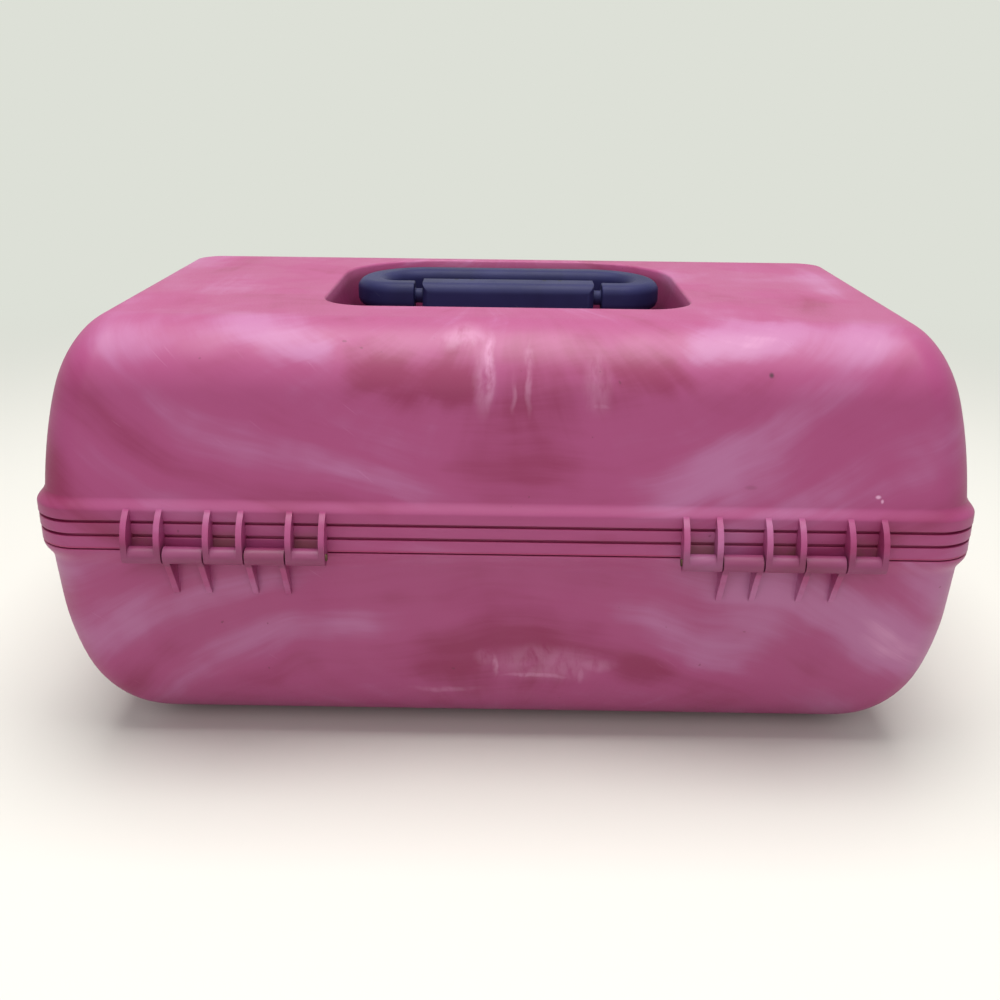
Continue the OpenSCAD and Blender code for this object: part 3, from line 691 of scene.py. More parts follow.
class Effects:
    """Node groups that several finishes share."""

    @staticmethod
    def grain() -> bpy.types.NodeTree:
        """Fine texture of a moulded surface: Vector and Scale in, Height and Speckle out."""
        broad_waves, broad_strength = 80.0, 1.5

        def fill(n: Nodes, given: bpy.types.NodeOutputs, result: bpy.types.NodeInputs) -> None:
            """Lays fine waves over broad ones."""
            fine = n.noise(n.vector("SCALE", given["Vector"], given["Scale"]), 1.0, 3.0, 0.6)
            broad = n.noise(given["Vector"], broad_waves, 2.0)
            n.put(n.plus(fine, n.times(broad, broad_strength)), result["Height"])
            n.put(n.ramp(fine, 0.35, 0.65), result["Speckle"])

        inputs = [("Vector", "Vector", None), ("Scale", "Float", 1400.0)]
        return shared_group("moulded_grain", inputs, ["Height", "Speckle"], fill)

    @staticmethod
    def scuffs() -> bpy.types.NodeTree:
        """Thin scratches and dull patches of handling: Vector in, Scratch and Dull out."""
        lean_up, lean_across = 1.3, 0.8
        along_waves, across_waves, patch_waves = 34.0, 900.0, 26.0

        def fill(n: Nodes, given: bpy.types.NodeOutputs, result: bpy.types.NodeInputs) -> None:
            """Draws slanting lines, and keeps them to the patches."""
            x, y, z = n.split(given["Vector"])
            along = n.times(n.plus(x, n.times(z, lean_up)), along_waves)
            across = n.times(n.minus(z, n.times(x, lean_across)), across_waves)
            lines = n.noise(n.join(along, across, y), 1.0, 1.0)
            patches = n.noise(given["Vector"], patch_waves, 3.0)
            n.put(n.within((lines, 0.72, 0.78), (patches, 0.52, 0.62)), result["Scratch"])
            n.put(n.ramp(patches, 0.42, 0.62), result["Dull"])

        return shared_group("handling_scuffs", [("Vector", "Vector", None)], ["Scratch", "Dull"], fill)

    @staticmethod
    def spot() -> bpy.types.NodeTree:
        """Soft round patch: Vector, its Middle and its Reach each way in, Mask out."""

        def fill(n: Nodes, given: bpy.types.NodeOutputs, result: bpy.types.NodeInputs) -> None:
            """Fades from the patch's heart, a quarter of its reach, to its edge."""
            away = n.vector("SUBTRACT", given["Vector"], given["Middle"])
            share = n.vector("LENGTH", n.vector("DIVIDE", away, given["Reach"]))
            n.put(n.ramp(share, 1.0, 0.25), result["Mask"])

        inputs = [(name, "Vector", None) for name in ("Vector", "Middle", "Reach")]
        return shared_group("soft_spot", inputs, ["Mask"], fill)

    @staticmethod
    def flow() -> bpy.types.NodeTree:
        """Lines along which the plastic ran in the mould.

        In: Vector, the Gate's height, Way (1 where the wall runs down from the gate, -1 where
        it runs up) and Spread (how many times as wide as high the lines are). Out: Across,
        the distance from the gate, and Along, the turn round it.
        """
        face_share = 0.26

        def fill(n: Nodes, given: bpy.types.NodeOutputs, result: bpy.types.NodeInputs) -> None:
            """Measures from the gate, down the wall and out to its face."""
            x, y, z = n.split(given["Vector"])
            fall = n.times(n.minus(given["Gate"], z), given["Way"])
            run = n.plus(fall, n.times(n.math("ABSOLUTE", y), face_share))
            wide = n.math("DIVIDE", x, given["Spread"])
            square = n.plus(n.math("POWER", wide, 2.0), n.math("POWER", n.math("ABSOLUTE", run), 2.0))
            n.put(n.math("SQRT", square), result["Across"])
            n.put(n.math("ARCTAN2", run, wide), result["Along"])

        inputs = [
            ("Vector", "Vector", None),
            ("Gate", "Float", 0.0),
            ("Way", "Float", 1.0),
            ("Spread", "Float", 1.72),
        ]
        return shared_group("mould_flow", inputs, ["Across", "Along"], fill)


@dataclass(frozen=True)
class Mark:
    """A patch of another colour.

    Attributes:
        middle: Where it lies.
        reach: How far it reaches each way.
        strength: How strong it is at its heart: over 0 pale, under 0 dark, where it can be both.
    """

    middle: tuple[float, float, float]
    reach: tuple[float, float, float]
    strength: float

    def share(self, n: Nodes, where: Socket) -> Socket:
        """Adds the patch to a finish.

        Args:
            n: The material's nodes.
            where: Where a point lies.

        Returns:
            How much of the patch lies there, times its strength.
        """
        patch = n.group(Effects.spot(), Vector=where, Middle=self.middle, Reach=self.reach)
        return n.times(patch.outputs["Mask"], self.strength)


@dataclass(frozen=True)
class Tint:
    """A colour, and how strongly it lies over another."""

    colour: Colour
    strength: float

    def over(self, n: Nodes, colour: Socket, share: Socket) -> Socket:
        """Lays the tint over a colour.

        Args:
            n: The material's nodes.
            colour: The colour under it.
            share: Where it lies, 0 to 1.

        Returns:
            The tinted colour.
        """
        return n.mix(n.times(share, self.strength), colour, self.colour)


@dataclass(frozen=True)
class PlainFinish:
    """A moulded or metal surface of one colour, with grain and a little variation.

    Attributes:
        name: The material's name.
        colour: Its main colour.
        shade: The colour that it drifts to.
        rough: Roughness where it is shiniest and where it is dullest.
        metallic: 1 for metal.
        grain: Depth of the fine texture.
        specular: How strongly it mirrors.
        dots: Small dark marks of painted shade, such as at the mouths of slots.
        shade_dot_colour: The colour of that painted shade.
        drift_waves: Waves in a metre of the drift from one colour to the other.
        grain_waves: Waves in a metre of the fine texture.
        bump: How much of that texture shows.
        scratch: The scratches' tint.
    """

    name: str
    colour: Colour
    shade: Colour
    rough: tuple[float, float] = (0.4, 0.55)
    metallic: float = 0.0
    grain: float = 0.00003
    specular: float = 0.5
    dots: tuple[Mark, ...] = ()
    shade_dot_colour: Colour = srgb(6, 7, 16)
    drift_waves: float = 34.0
    grain_waves: float = 1500.0
    bump: float = 0.4
    scratch: Tint = Tint((0.8, 0.8, 0.8), 0.25)

    def build(self) -> bpy.types.Material:
        """Makes the material."""
        material, n, shader = new_material(self.name)
        where = n.add("TexCoord").outputs["Object"]
        drift = n.ramp(n.noise(where, self.drift_waves, 3.0, 0.6, 0.4), 0.35, 0.7)
        grain = n.group(Effects.grain(), Vector=where, Scale=self.grain_waves)
        scuffs = n.group(Effects.scuffs(), Vector=where)
        colour = n.mix(drift, self.colour, self.shade)
        colour = self.scratch.over(n, colour, scuffs.outputs["Scratch"])
        # Painted shade: dark marks that draw the shaded mouths of slots longer.
        for dot in self.dots:
            colour = n.mix(dot.share(n, where), colour, self.shade_dot_colour)
        n.put(colour, shader.inputs["Base Color"])
        worn = n.times(n.plus(grain.outputs["Speckle"], scuffs.outputs["Dull"]), 0.5)
        shiny, dull = self.rough
        n.put(n.plus(n.times(worn, dull - shiny), shiny), shader.inputs["Roughness"])
        n.put(n.bump(grain.outputs["Height"], self.bump, self.grain), shader.inputs["Normal"])
        shader.inputs["Metallic"].default_value = self.metallic
        shader.inputs["Specular IOR Level"].default_value = self.specular
        return material


@dataclass(frozen=True)
class Streak:
    """A noise pattern that is drawn out along the plastic's flow.

    Attributes:
        across: Waves in a metre, away from the gate.
        along: Waves in a turn of one radian round it.
        rough: How strong its finer layers are.
        strength: How far it moves the tone.
    """

    across: float
    along: float
    rough: float
    strength: float


@dataclass(frozen=True)
class Marbling:
    """How the streaks in the plastic run.

    Attributes:
        swirl: Waves in a metre and reach of the swirl that bends the streaks.
        curls: The same for each swirl that bends the drips.
        depth_waves: Waves in a metre from the hinge's side to the latch's.
        ring_at: Distance from the gate of a pale ring.
        ring_pitch: Distance from one ring to the next.
        ring_strength: How far the rings move the tone.
        fan_edge: Distances from the gate between which its fan turns into arcs.
        arcs: The broad arcs.
        threads: The fine arcs.
        fan: The streaks that run out from the gate, inside the arcs.
        cloud_waves: Waves in a metre of the clouds.
        cloud_strength: How far they move the tone.
        wisp_waves: Waves in a metre of the wisps in the drips.
        wisp_narrow: How many times as high as wide the wisps are.
        wisp_fade: The wisps' noise where a drip is gone and where it is whole.
    """

    swirl: tuple[float, float] = (13.0, 0.026)
    curls: tuple[tuple[float, float], ...] = ((40.0, 0.006), (150.0, 0.0022))
    depth_waves: float = 2.0
    ring_at: float = 0.083
    ring_pitch: float = 0.0275
    ring_strength: float = 0.07
    fan_edge: Fade = (0.050, 0.080)
    arcs: Streak = Streak(62.0, 1.2, 0.5, 0.62)
    threads: Streak = Streak(420.0, 4.0, 0.6, 0.15)
    fan: Streak = Streak(16.0, 8.0, 0.55, 0.5)
    cloud_waves: float = 20.0
    cloud_strength: float = 0.5
    wisp_waves: float = 110.0
    wisp_narrow: float = 2.6
    wisp_fade: Fade = (0.22, 0.62)

    def streaks(self, n: Nodes, bent: Socket, gate_z: float, way: float, level: float) -> Socket:
        """Works out how pale the streaks make the plastic.

        Args:
            n: The material's nodes.
            bent: Where a point lies, swirled.
            gate_z: The gate's height.
            way: 1 where the wall runs down from the gate, -1 where it runs up.
            level: The tone without any streak.

        Returns:
            The tone.
        """
        flow = n.group(Effects.flow(), Vector=bent, Gate=gate_z, Way=way)
        across, along = flow.outputs["Across"], flow.outputs["Along"]
        depth = n.times(n.split(bent)[1], self.depth_waves)
        ring = n.math("DIVIDE", n.minus(across, self.ring_at), self.ring_pitch)
        rings = n.math("COSINE", n.times(ring, 2 * math.pi))
        outer = n.ramp(across, *self.fan_edge)
        inner = n.minus(1.0, outer)
        tone = n.plus(level, n.times(n.times(rings, outer), self.ring_strength))
        for streak, share in ((self.arcs, outer), (self.threads, None), (self.fan, inner)):
            place = [n.times(across, streak.across), n.times(along, streak.along)]
            first, second = reversed(place) if streak is self.fan else place
            pattern = n.minus(n.noise(n.join(first, second, depth), 1.0, 3.0, streak.rough), 0.5)
            kept = pattern if share is None else n.times(pattern, share)
            tone = n.plus(tone, n.times(kept, streak.strength))
        cloud = n.minus(n.noise(bent, self.cloud_waves, 3.0, 0.6), 0.5)
        return n.plus(tone, n.times(cloud, self.cloud_strength))

    def dripped(self, n: Nodes, where: Socket, drips: Sequence[Mark]) -> Socket:
        """Works out where the pale drips lie.

        Args:
            n: The material's nodes.
            where: Where a point lies.
            drips: The drips.

        Returns:
            Their share, 0 to 1.
        """
        curled = where
        for waves, reach in self.curls:
            curled = n.swirled(curled, waves, reach)
        share = drips[0].share(n, curled)
        for drip in drips[1:]:
            share = n.math("MAXIMUM", share, drip.share(n, curled))
        x, y, z = n.split(curled)
        wisps = n.noise(n.join(n.times(x, self.wisp_narrow), y, z), self.wisp_waves, 3.0, 0.6)
        return n.times(share, n.ramp(wisps, *self.wisp_fade), clamp=True)


@dataclass(frozen=True)
class MarbledFinish:
    """Plum plastic whose pale and dark streaks run in arcs round the point where the mould filled.

    Attributes:
        name: The material's name.
        gate_z: Height of the point that the arcs run round.
        way: 1 where the wall runs down from the gate, -1 where it runs up.
        marks: Patches that stand out of the arcs; on the lid some of them are painted highlight on the rear
            rounding and one is painted shade at an end.
        drips: Thin pale drips over them.
        dots: Small sharp marks: dark stains and pale chips.
        level: The tone where nothing lightens or darkens it.
        stops: The tone of each of the next four colours.
        dark: The colour of its red streaks.
        plain: The plastic's main colour.
        pale: The colour of its pale streaks.
        white: The colour of its palest drips.
        stain: The colour of the dark stains.
        scratched: How strongly its scratches show.
        speck: The tint of its specks.
        grime: The tint of the grime behind the hinge ribs.
        well: The painted shade in the handle's well.
        knuckle: The painted shade on the hinge's knuckles.
        groove: The painted shade in the band's grooves and at the parting line.
        rough: Roughness, and what grain and scuffs add to it.
        bump: How much of the fine texture shows.
        grain: Depth of that texture.
        grain_waves: Its waves in a metre.
    """

    name: str
    gate_z: float
    way: float
    marks: tuple[Mark, ...]
    drips: tuple[Mark, ...]
    dots: tuple[Mark, ...] = ()
    level: float = 0.42
    stops: tuple[float, float, float, float] = (0.12, 0.42, 0.72, 1.0)
    dark: Colour = srgb(132, 30, 78)
    plain: Colour = srgb(154, 60, 110)
    pale: Colour = srgb(168, 98, 142)
    white: Colour = srgb(212, 158, 190)
    stain: Colour = srgb(62, 16, 40)
    scratched: float = 0.10
    speck: Tint = Tint(srgb(92, 26, 52), 0.5)
    grime: Tint = Tint(srgb(118, 78, 66), 0.6)
    # Painted shade for the inside of the handle's well
    well: Tint = Tint(srgb(100, 8, 58), 0.74)
    # Painted shade for the hinge's knuckles
    knuckle: Tint = Tint(srgb(92, 44, 70), 0.42)
    # Painted shade for the band's grooves and the parting line
    groove: Tint = Tint(srgb(150, 22, 78), 0.6)
    rough: tuple[float, float, float] = (0.43, 0.05, 0.1)
    bump: float = 0.35
    grain: float = 0.00004
    grain_waves: float = 1300.0

    def build(self) -> bpy.types.Material:
        """Makes the material."""
        material, n, shader = new_material(self.name)
        where = n.add("TexCoord").outputs["Object"]
        marbled = self.marbled(n, where)
        grain = n.group(Effects.grain(), Vector=where, Scale=self.grain_waves)
        scuffs = n.group(Effects.scuffs(), Vector=where)
        scuffed = n.mix(n.times(scuffs.outputs["Scratch"], self.scratched), marbled, self.white)
        n.put(self.aged_and_shaded(n, where, scuffed), shader.inputs["Base Color"])
        least, by_grain, by_scuffs = self.rough
        rough = n.plus(n.times(grain.outputs["Speckle"], by_grain), least)
        n.put(n.plus(rough, n.times(scuffs.outputs["Dull"], by_scuffs)), shader.inputs["Roughness"])
        n.put(n.bump(grain.outputs["Height"], self.bump, self.grain), shader.inputs["Normal"])
        return material

    def marbled(self, n: Nodes, where: Socket) -> Socket:
        """Colours the plastic with its streaks, patches and drips, among them painted highlight and painted
        shade.

        Args:
            n: The material's nodes.
            where: Where a point lies.

        Returns:
            The colour.
        """
        marbling = Marbling()
        bent = n.swirled(where, *marbling.swirl)
        tone = marbling.streaks(n, bent, self.gate_z, self.way, self.level)
        # Some of these patches are painted highlight and painted shade.
        for mark in self.marks:
            tone = n.plus(tone, mark.share(n, bent))
        node = n.add("ValToRGB")
        n.put(tone, node.inputs["Fac"])
        node.color_ramp.interpolation = "EASE"
        elements = node.color_ramp.elements
        while len(elements) < len(self.stops):
            elements.new(0.5)
        colours = (self.dark, self.plain, self.pale, self.white)
        for element, place, colour in zip(elements, self.stops, colours):
            element.position = place
            element.color = (*colour, 1.0)
        return n.mix(marbling.dripped(n, where, self.drips), node.outputs["Color"], self.white)

    def aged_and_shaded(self, n: Nodes, where: Socket, colour: Socket) -> Socket:
        """Adds specks, stains and chips and the grime behind the hinge ribs, and paints shade into the
        handle's well, on the knuckles and in the band's grooves.

        Args:
            n: The material's nodes.
            where: Where a point lies.
            colour: The clean colour.

        Returns:
            The colour with wear, grime and painted shade.
        """
        specks = n.ramp(n.noise(where, 330.0, 1.0), 0.79, 0.83)
        colour = self.speck.over(n, colour, specks)
        for dot in self.dots:
            share = n.math("ABSOLUTE", dot.share(n, where))
            colour = n.mix(share, colour, self.white if dot.strength > 0 else self.stain)
        place = n.split(where)
        colour = self.grime.over(n, colour, HingeRow().grimy(n, where, place))
        # Painted shade: darkens the inside of the handle's well.
        colour = self.well.over(n, colour, LidShell().well_shade_mask(n, place))
        # Painted shade: darkens the hinge's knuckles.
        colour = self.knuckle.over(n, colour, HingeRow().knuckle_shade_mask(n, place))
        # Painted shade: darkens the band's grooves and the parting line.
        return self.groove.over(n, colour, LidShell().groove_shade_mask(n, place))


# ---------------------------------------------------------------- shells


@dataclass(frozen=True)
class HingeRow:
    """Where the lid's hinge knuckles lie, with the shade painted on them, and the grime behind their ribs.

    Attributes:
        first_x: Middle of the knuckle nearest the case's middle.
        pitch: Distance from one knuckle to the next.
        half_w: Fade from a knuckle's middle, within its ribs.
        grime_in_x: Fade at the row's inner end.
        grime_out_x: Fade at its outer end.
        grime_in_y: Fade from the band's face outwards.
        grime_out_y: Fade before the ribs' outer edge.
        grime_low_z: Fade over the parting line.
        grime_high_z: Fade up the band.
        patch_waves: Waves in a metre of the grime's patches.
        patch_fade: Their noise where it is clean and where it is grimy.
        barrel_y: Fade outwards to the knuckles.
        barrel_high_z: Fade down to them.
        barrel_low_z: Fade up to them.
    """

    first_x: float = 0.0686
    pitch: float = 0.0284
    half_w: Fade = (0.0062, 0.0042)
    grime_in_x: Fade = (0.056, 0.061)
    grime_out_x: Fade = (0.137, 0.133)
    grime_in_y: Fade = (0.0990, 0.1002)
    grime_out_y: Fade = (0.1048, 0.1043)
    grime_low_z: Fade = (0.0835, 0.0845)
    grime_high_z: Fade = (0.0930, 0.0865)
    patch_waves: float = 110.0
    patch_fade: Fade = (0.16, 0.62)
    # barrel_y: Fade outwards to the knuckles, where shade is painted.
    barrel_y: Fade = (0.1046, 0.1052)
    barrel_high_z: Fade = (0.0905, 0.0860)
    barrel_low_z: Fade = (0.0790, 0.0802)

    def grimy(self, n: Nodes, where: Socket, place: tuple[Socket, Socket, Socket]) -> Socket:
        """Finds the grime between each knuckle's ribs.

        Args:
            n: The material's nodes.
            where: Where a point lies.
            place: Its X, Y and Z.

        Returns:
            How grimy it is, 0 to 1.
        """
        x, y, z = place
        wide = n.math("ABSOLUTE", x)
        mask = n.within(
            (n.math("PINGPONG", n.minus(wide, self.first_x), self.pitch / 2), *self.half_w),
            (wide, *self.grime_in_x),
            (wide, *self.grime_out_x),
            (y, *self.grime_in_y),
            (y, *self.grime_out_y),
            (z, *self.grime_low_z),
            (z, *self.grime_high_z),
        )
        return n.times(mask, n.ramp(n.noise(where, self.patch_waves, 3.0), *self.patch_fade))

    def knuckle_shade_mask(self, n: Nodes, place: tuple[Socket, Socket, Socket]) -> Socket:
        """Finds the knuckles, where shade is painted into the colour.

        Args:
            n: The material's nodes.
            place: X, Y and Z of a point.

        Returns:
            1 on a knuckle, 0 elsewhere.
        """
        _, y, z = place
        return n.within((y, *self.barrel_y), (z, *self.barrel_high_z), (z, *self.barrel_low_z))


@dataclass(frozen=True)
class CaseForm:
    """Sizes and profile rules that both shells share."""

    half_w: float = 0.1675
    half_d: float = 0.104
    parting_z: float = 0.0837
    parting_gap: float = 0.0005
    top_z: float = 0.1608
    corner_r: float = 0.0167
    corner_min_r: float = 0.010
    corner_fade: float = 0.3
    wall: float = 0.0025
    rings: int = 32
    ring_power: float = 2.2

    def outlines(self, stations: Sequence[Station]) -> list[Outline]:
        """Outlines of the case at the stations of a profile.

        Args:
            stations: Inset at the ends, inset at the faces, and height of each.

        Returns:
            The outlines.
        """
        out: list[Outline] = []
        for inset_x, inset_y, z in stations:
            radius = max(self.corner_min_r, self.corner_r - self.corner_fade * (inset_x + inset_y) / 2)
            out.append(Outline((self.half_w - inset_x, self.half_d - inset_y), (radius, radius), z))
        return out

    def wall_run(self, step: float, curls: tuple[Curl, Curl], rise: float, inner: float) -> list[Station]:
        """Follows a wall from the band or rim to its far end.

        Args:
            step: Inset where the wall starts.
            curls: How it curls at the ends and at the faces.
            rise: How far it goes up or down.
            inner: 0 for the outside, the wall's thickness for the inside.

        Returns:
            The stations, each with how far it lies up or down from the start as its height.
        """
        out: list[Station] = []
        for i in range(self.rings + 1):
            h = rise * (1 - (1 - i / self.rings) ** self.ring_power)
            in_x, in_y = (step + inner + curl.travel(h, rise) for curl in curls)
            out.append((in_x, in_y, h * (rise - inner) / rise))
        return out

    def end_bosses(self, step: float, inner_x: float, at: tuple[float, float], radius: float) -> BMesh:
        """Makes a round boss on the inside of each end wall.

        Args:
            step: The wall's inset.
            inner_x: Where the bosses end, out from the middle.
            at: Where their axis lies along Y and Z.
            radius: Their radius.

        Returns:
            The new mesh.
        """
        bm = bmesh.new()
        length = self.half_w - step - self.wall / 2 - inner_x
        for start in (inner_x, -inner_x - length):
            place = Matrix.Translation((start + length / 2, *at))
            cylinder(bm, place @ Matrix.Rotation(math.pi / 2, 4, "Y"), length, radius, BOSS_SIDES)
        return bm


@dataclass(frozen=True)
class Curl:
    """How a wall leans and then curls inwards towards its end.

    Attributes:
        lean: Inward travel for each unit of rise.
        inward: How far it curls in.
        height: Rise over which it curls.
    """

    lean: float
    inward: float
    height: float

    def travel(self, h: float, rise: float) -> float:
        """Inward travel at rise h of a wall whose whole rise is given."""
        k = min(1.0, max(0.0, (h - rise + self.height) / self.height))
        return self.lean * h + self.inward * (1 - math.sqrt(max(0.0, 1 - k * k)))


@dataclass(frozen=True)
class LidShell:
    """The domed lid: grooved band, shoulder, walls, handle well, knuckles, ears and bosses."""

    form: CaseForm = CaseForm()
    band_h: float = 0.019
    step: float = 0.0024
    shoulder_h: float = 0.0046
    groove_h: float = 0.0011
    groove_d: float = 0.0018
    groove_pitch: float = 0.0051
    grooves: int = 2
    strip_step: float = 0.00015
    ends: Curl = Curl(0.031, 0.0218, 0.0712)
    faces: Curl = Curl(0.132, 0.0255, 0.0222)
    pivot_y: float = -0.0085
    well_half: tuple[float, float] = (0.0705, 0.058)
    well_radii: tuple[float, float] = (0.042, 0.018)
    well_depth: float = 0.0228
    well_draft: float = 0.006
    well_edge: float = 0.0013
    well_foot: float = 0.0028
    well_flat: float = 0.006
    rest_x: float = 0.030
    rest_w: float = 0.004
    rest_top_z: float = 0.1483
    rest_reach: float = 0.0372
    post_at: tuple[float, float] = (0.048, 0.038)
    post_r: float = 0.0042
    post_z: float = 0.1305
    boss_r: float = 0.0055
    boss_x: float = 0.1501
    boss_at: tuple[float, float] = (0.060, 0.1015)
    cut_y: float = 0.10402
    cut_sink: float = 0.0028

    @property
    def low_z(self) -> float:
        """Height of the lid's rim."""
        return self.form.parting_z + self.form.parting_gap / 2

    @property
    def start_z(self) -> float:
        """Height where the lid's wall starts over the band."""
        return self.form.parting_z + self.band_h

    @property
    def floor_z(self) -> float:
        """Height of the well's floor."""
        return self.form.top_z - self.well_depth

    def wall(self, inner: float) -> list[Station]:
        """Stations of the lid's wall from the shoulder to the top.

        Args:
            inner: 0 for the outside, the wall's thickness for the inside.

        Returns:
            The stations.
        """
        rise = self.form.top_z - self.start_z
        run = self.form.wall_run(self.step, (self.ends, self.faces), rise, inner)
        return [(in_x, in_y, self.start_z + up) for in_x, in_y, up in run]

    def band(self) -> list[Station]:
        """Stations of the grooved band, from the parting line up to the shoulder."""
        top_z = self.start_z - self.shoulder_h
        half = self.groove_h / 2
        first = self.grooves * self.strip_step
        out: list[Station] = [(first, first, self.low_z)]
        for i in reversed(range(self.grooves)):
            z = self.low_z + (self.grooves - i) * self.groove_pitch
            low, high = (i + 1) * self.strip_step, i * self.strip_step
            out.append((low, low, z - half))
            out.append((self.groove_d, self.groove_d, z - half))
            out.append((self.groove_d, self.groove_d, z + half))
            out.append((high, high, z + half))
        return out + [(0.0, 0.0, top_z)]

    def well_outline(self, extra: float, z: float) -> Outline:
        """Outline of the handle's well.

        Args:
            extra: How much it is grown all round.
            z: Its height.

        Returns:
            The outline.
        """
        half = (self.well_half[0] + extra, self.well_half[1] + extra)
        radii = (self.well_radii[0] + extra, self.well_radii[1] + extra)
        return Outline(half, radii, z, self.pivot_y)

    def well_profile(self) -> list[tuple[float, float]]:
        """Growth and height of the well's outlines, from its soft mouth down to its floor."""
        slope = self.well_draft / self.well_depth
        top, edge = self.form.top_z, self.well_edge
        start, under = edge * 1.6, -slope * edge * 2
        foot, flat = -self.well_draft, -self.well_draft - self.well_flat
        mouth = [(start, start, top), (0.0, 0.0, top), (under, under, top - edge * 2)]
        mouth = eased(mouth, edge, WELL_STEPS)[:-1]
        floor = [mouth[-1], (foot, foot, self.floor_z), (flat, flat, self.floor_z)]
        floor = eased(floor, self.well_foot, WELL_STEPS)[1:]
        return [(growth, z) for growth, _, z in mouth + floor]

    def skin(self, material: bpy.types.Material) -> bpy.types.Object:
        """Makes the lid's skin, inside and outside, as one closed piece."""
        form = self.form
        slope = self.well_draft / self.well_depth
        under = [
            self.well_outline(form.wall - (form.top_z - z) * slope, z)
            for z in (self.floor_z - form.wall, form.top_z - form.wall)
        ]
        inside = self.wall(form.wall)[::-1]
        foot = (self.step + form.wall, self.step + form.wall, self.low_z)
        band = eased([inside[-1], foot, *self.band()], 0.0003)
        shoulder = swing((0.0, self.start_z - self.shoulder_h), (self.step, self.start_z))
        walls = form.outlines([*inside[:-1], *band[:-1], *shoulder[:-1], *self.wall(0.0)])
        well = [self.well_outline(growth, z) for growth, z in self.well_profile()]
        bm = bmesh.new()
        loft(bm, [*under, *walls, *well])
        return new_piece("lid_skin", bm, Body.LID, material)

    def rests(self) -> BMesh:
        """Makes the four rests that hold the grip up, in front and behind."""
        bm = bmesh.new()
        height = self.rest_top_z - self.floor_z + ROOT
        for side_x in (-1, 1):
            for side_y in (-1, 1):
                y = self.pivot_y + side_y * self.rest_reach
                place = Matrix.Translation((side_x * self.rest_x, y, self.rest_top_z - height / 2))
                size = Matrix.Diagonal((self.rest_w, 2 * self.rest_w, height, 1.0))
                bmesh.ops.create_cube(bm, size=1.0, matrix=place @ size)
        return bm

    def posts(self) -> BMesh:
        """Makes the four posts that the mirror's frame is pegged to."""
        bm = bmesh.new()
        height = self.floor_z - self.form.wall - self.post_z + ROOT
        for side_x in (-1, 1):
            for side_y in (-1, 1):
                x, y = side_x * self.post_at[0], self.pivot_y + side_y * self.post_at[1]
                place = Matrix.Translation((x, y, self.post_z + height / 2))
                cylinder(bm, place, height, self.post_r, POST_SIDES)
        return bm

    def well_shade_mask(self, n: Nodes, place: tuple[Socket, Socket, Socket]) -> Socket:
        """Finds the handle's well, where shade is painted into the plastic's colour.

        Args:
            n: The material's nodes.
            place: X, Y and Z of a point.

        Returns:
            1 deep in the well, 0 outside it.
        """
        x, y, z = place
        sides = [n.math("ABSOLUTE", value) for value in (x, n.minus(y, self.pivot_y))]
        return n.within(
            (z, self.form.top_z - 0.0010, self.form.top_z - 0.0050),
            (z, self.floor_z - 0.0010, self.floor_z - 0.0005),
            *((side, half + 0.0015, half + 0.0010) for side, half in zip(sides, self.well_half)),
        )

    def groove_shade_mask(self, n: Nodes, place: tuple[Socket, Socket, Socket]) -> Socket:
        """Finds the band's grooves and the parting line, where shade is painted into the colour.

        Args:
            n: The material's nodes.
            place: X, Y and Z of a point.

        Returns:
            1 in a groove, 0 elsewhere.
        """
        form = self.form
        x, y, z = place
        square = None
        for value, half in ((x, form.half_w), (y, form.half_d)):
            over = n.math("MAXIMUM", n.minus(n.math("ABSOLUTE", value), half - form.corner_r), 0.0)
            part = n.math("POWER", over, 2.0)
            square = part if square is None else n.plus(square, part)
        # How far a point lies outside the band's outline
        past = n.minus(n.math("SQRT", square), form.corner_r)
        first_z = self.low_z + self.groove_pitch
        last_z = first_z + self.groove_pitch * 1.4
        # How far it lies from the middle of the nearest groove
        away = n.math("PINGPONG", n.minus(z, first_z), self.groove_pitch / 2)
        return n.within(
            (away, self.groove_h * 0.75, self.groove_h * 0.45),
            (z, last_z, last_z - 0.0004),
            (z, form.parting_z - 0.0035, form.parting_z - 0.0025),
            (past, -0.0037, -0.0027),
            (past, 0.0003, 0.0001),
        )

    def build(self, material: bpy.types.Material) -> list[bpy.types.Object]:
        """Makes every part of the lid.

        Args:
            material: Its finish.

        Returns:
            The pieces.
        """
        even_shading(skin := self.skin(material))
        bosses = self.form.end_bosses(self.step, self.boss_x, self.boss_at, self.boss_r)
        parts = (
            ("lid_hinge_ribs", face_outgrowth("lid_shell", self.cut_y, self.cut_sink), 0.0004),
            ("lid_latch_ears", face_outgrowth("lid_shell", -self.cut_y, self.cut_sink), 0.0004),
            ("lid_grip_rests", self.rests(), 0.0007),
            ("lid_mirror_posts", self.posts(), 0.0003),
            ("lid_tray_bosses", bosses, 0.0006),
        )
        pieces = [skin, *soft_parts(parts, Body.LID, material)]
        for piece in pieces:
            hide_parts("lid_shell")
        return pieces


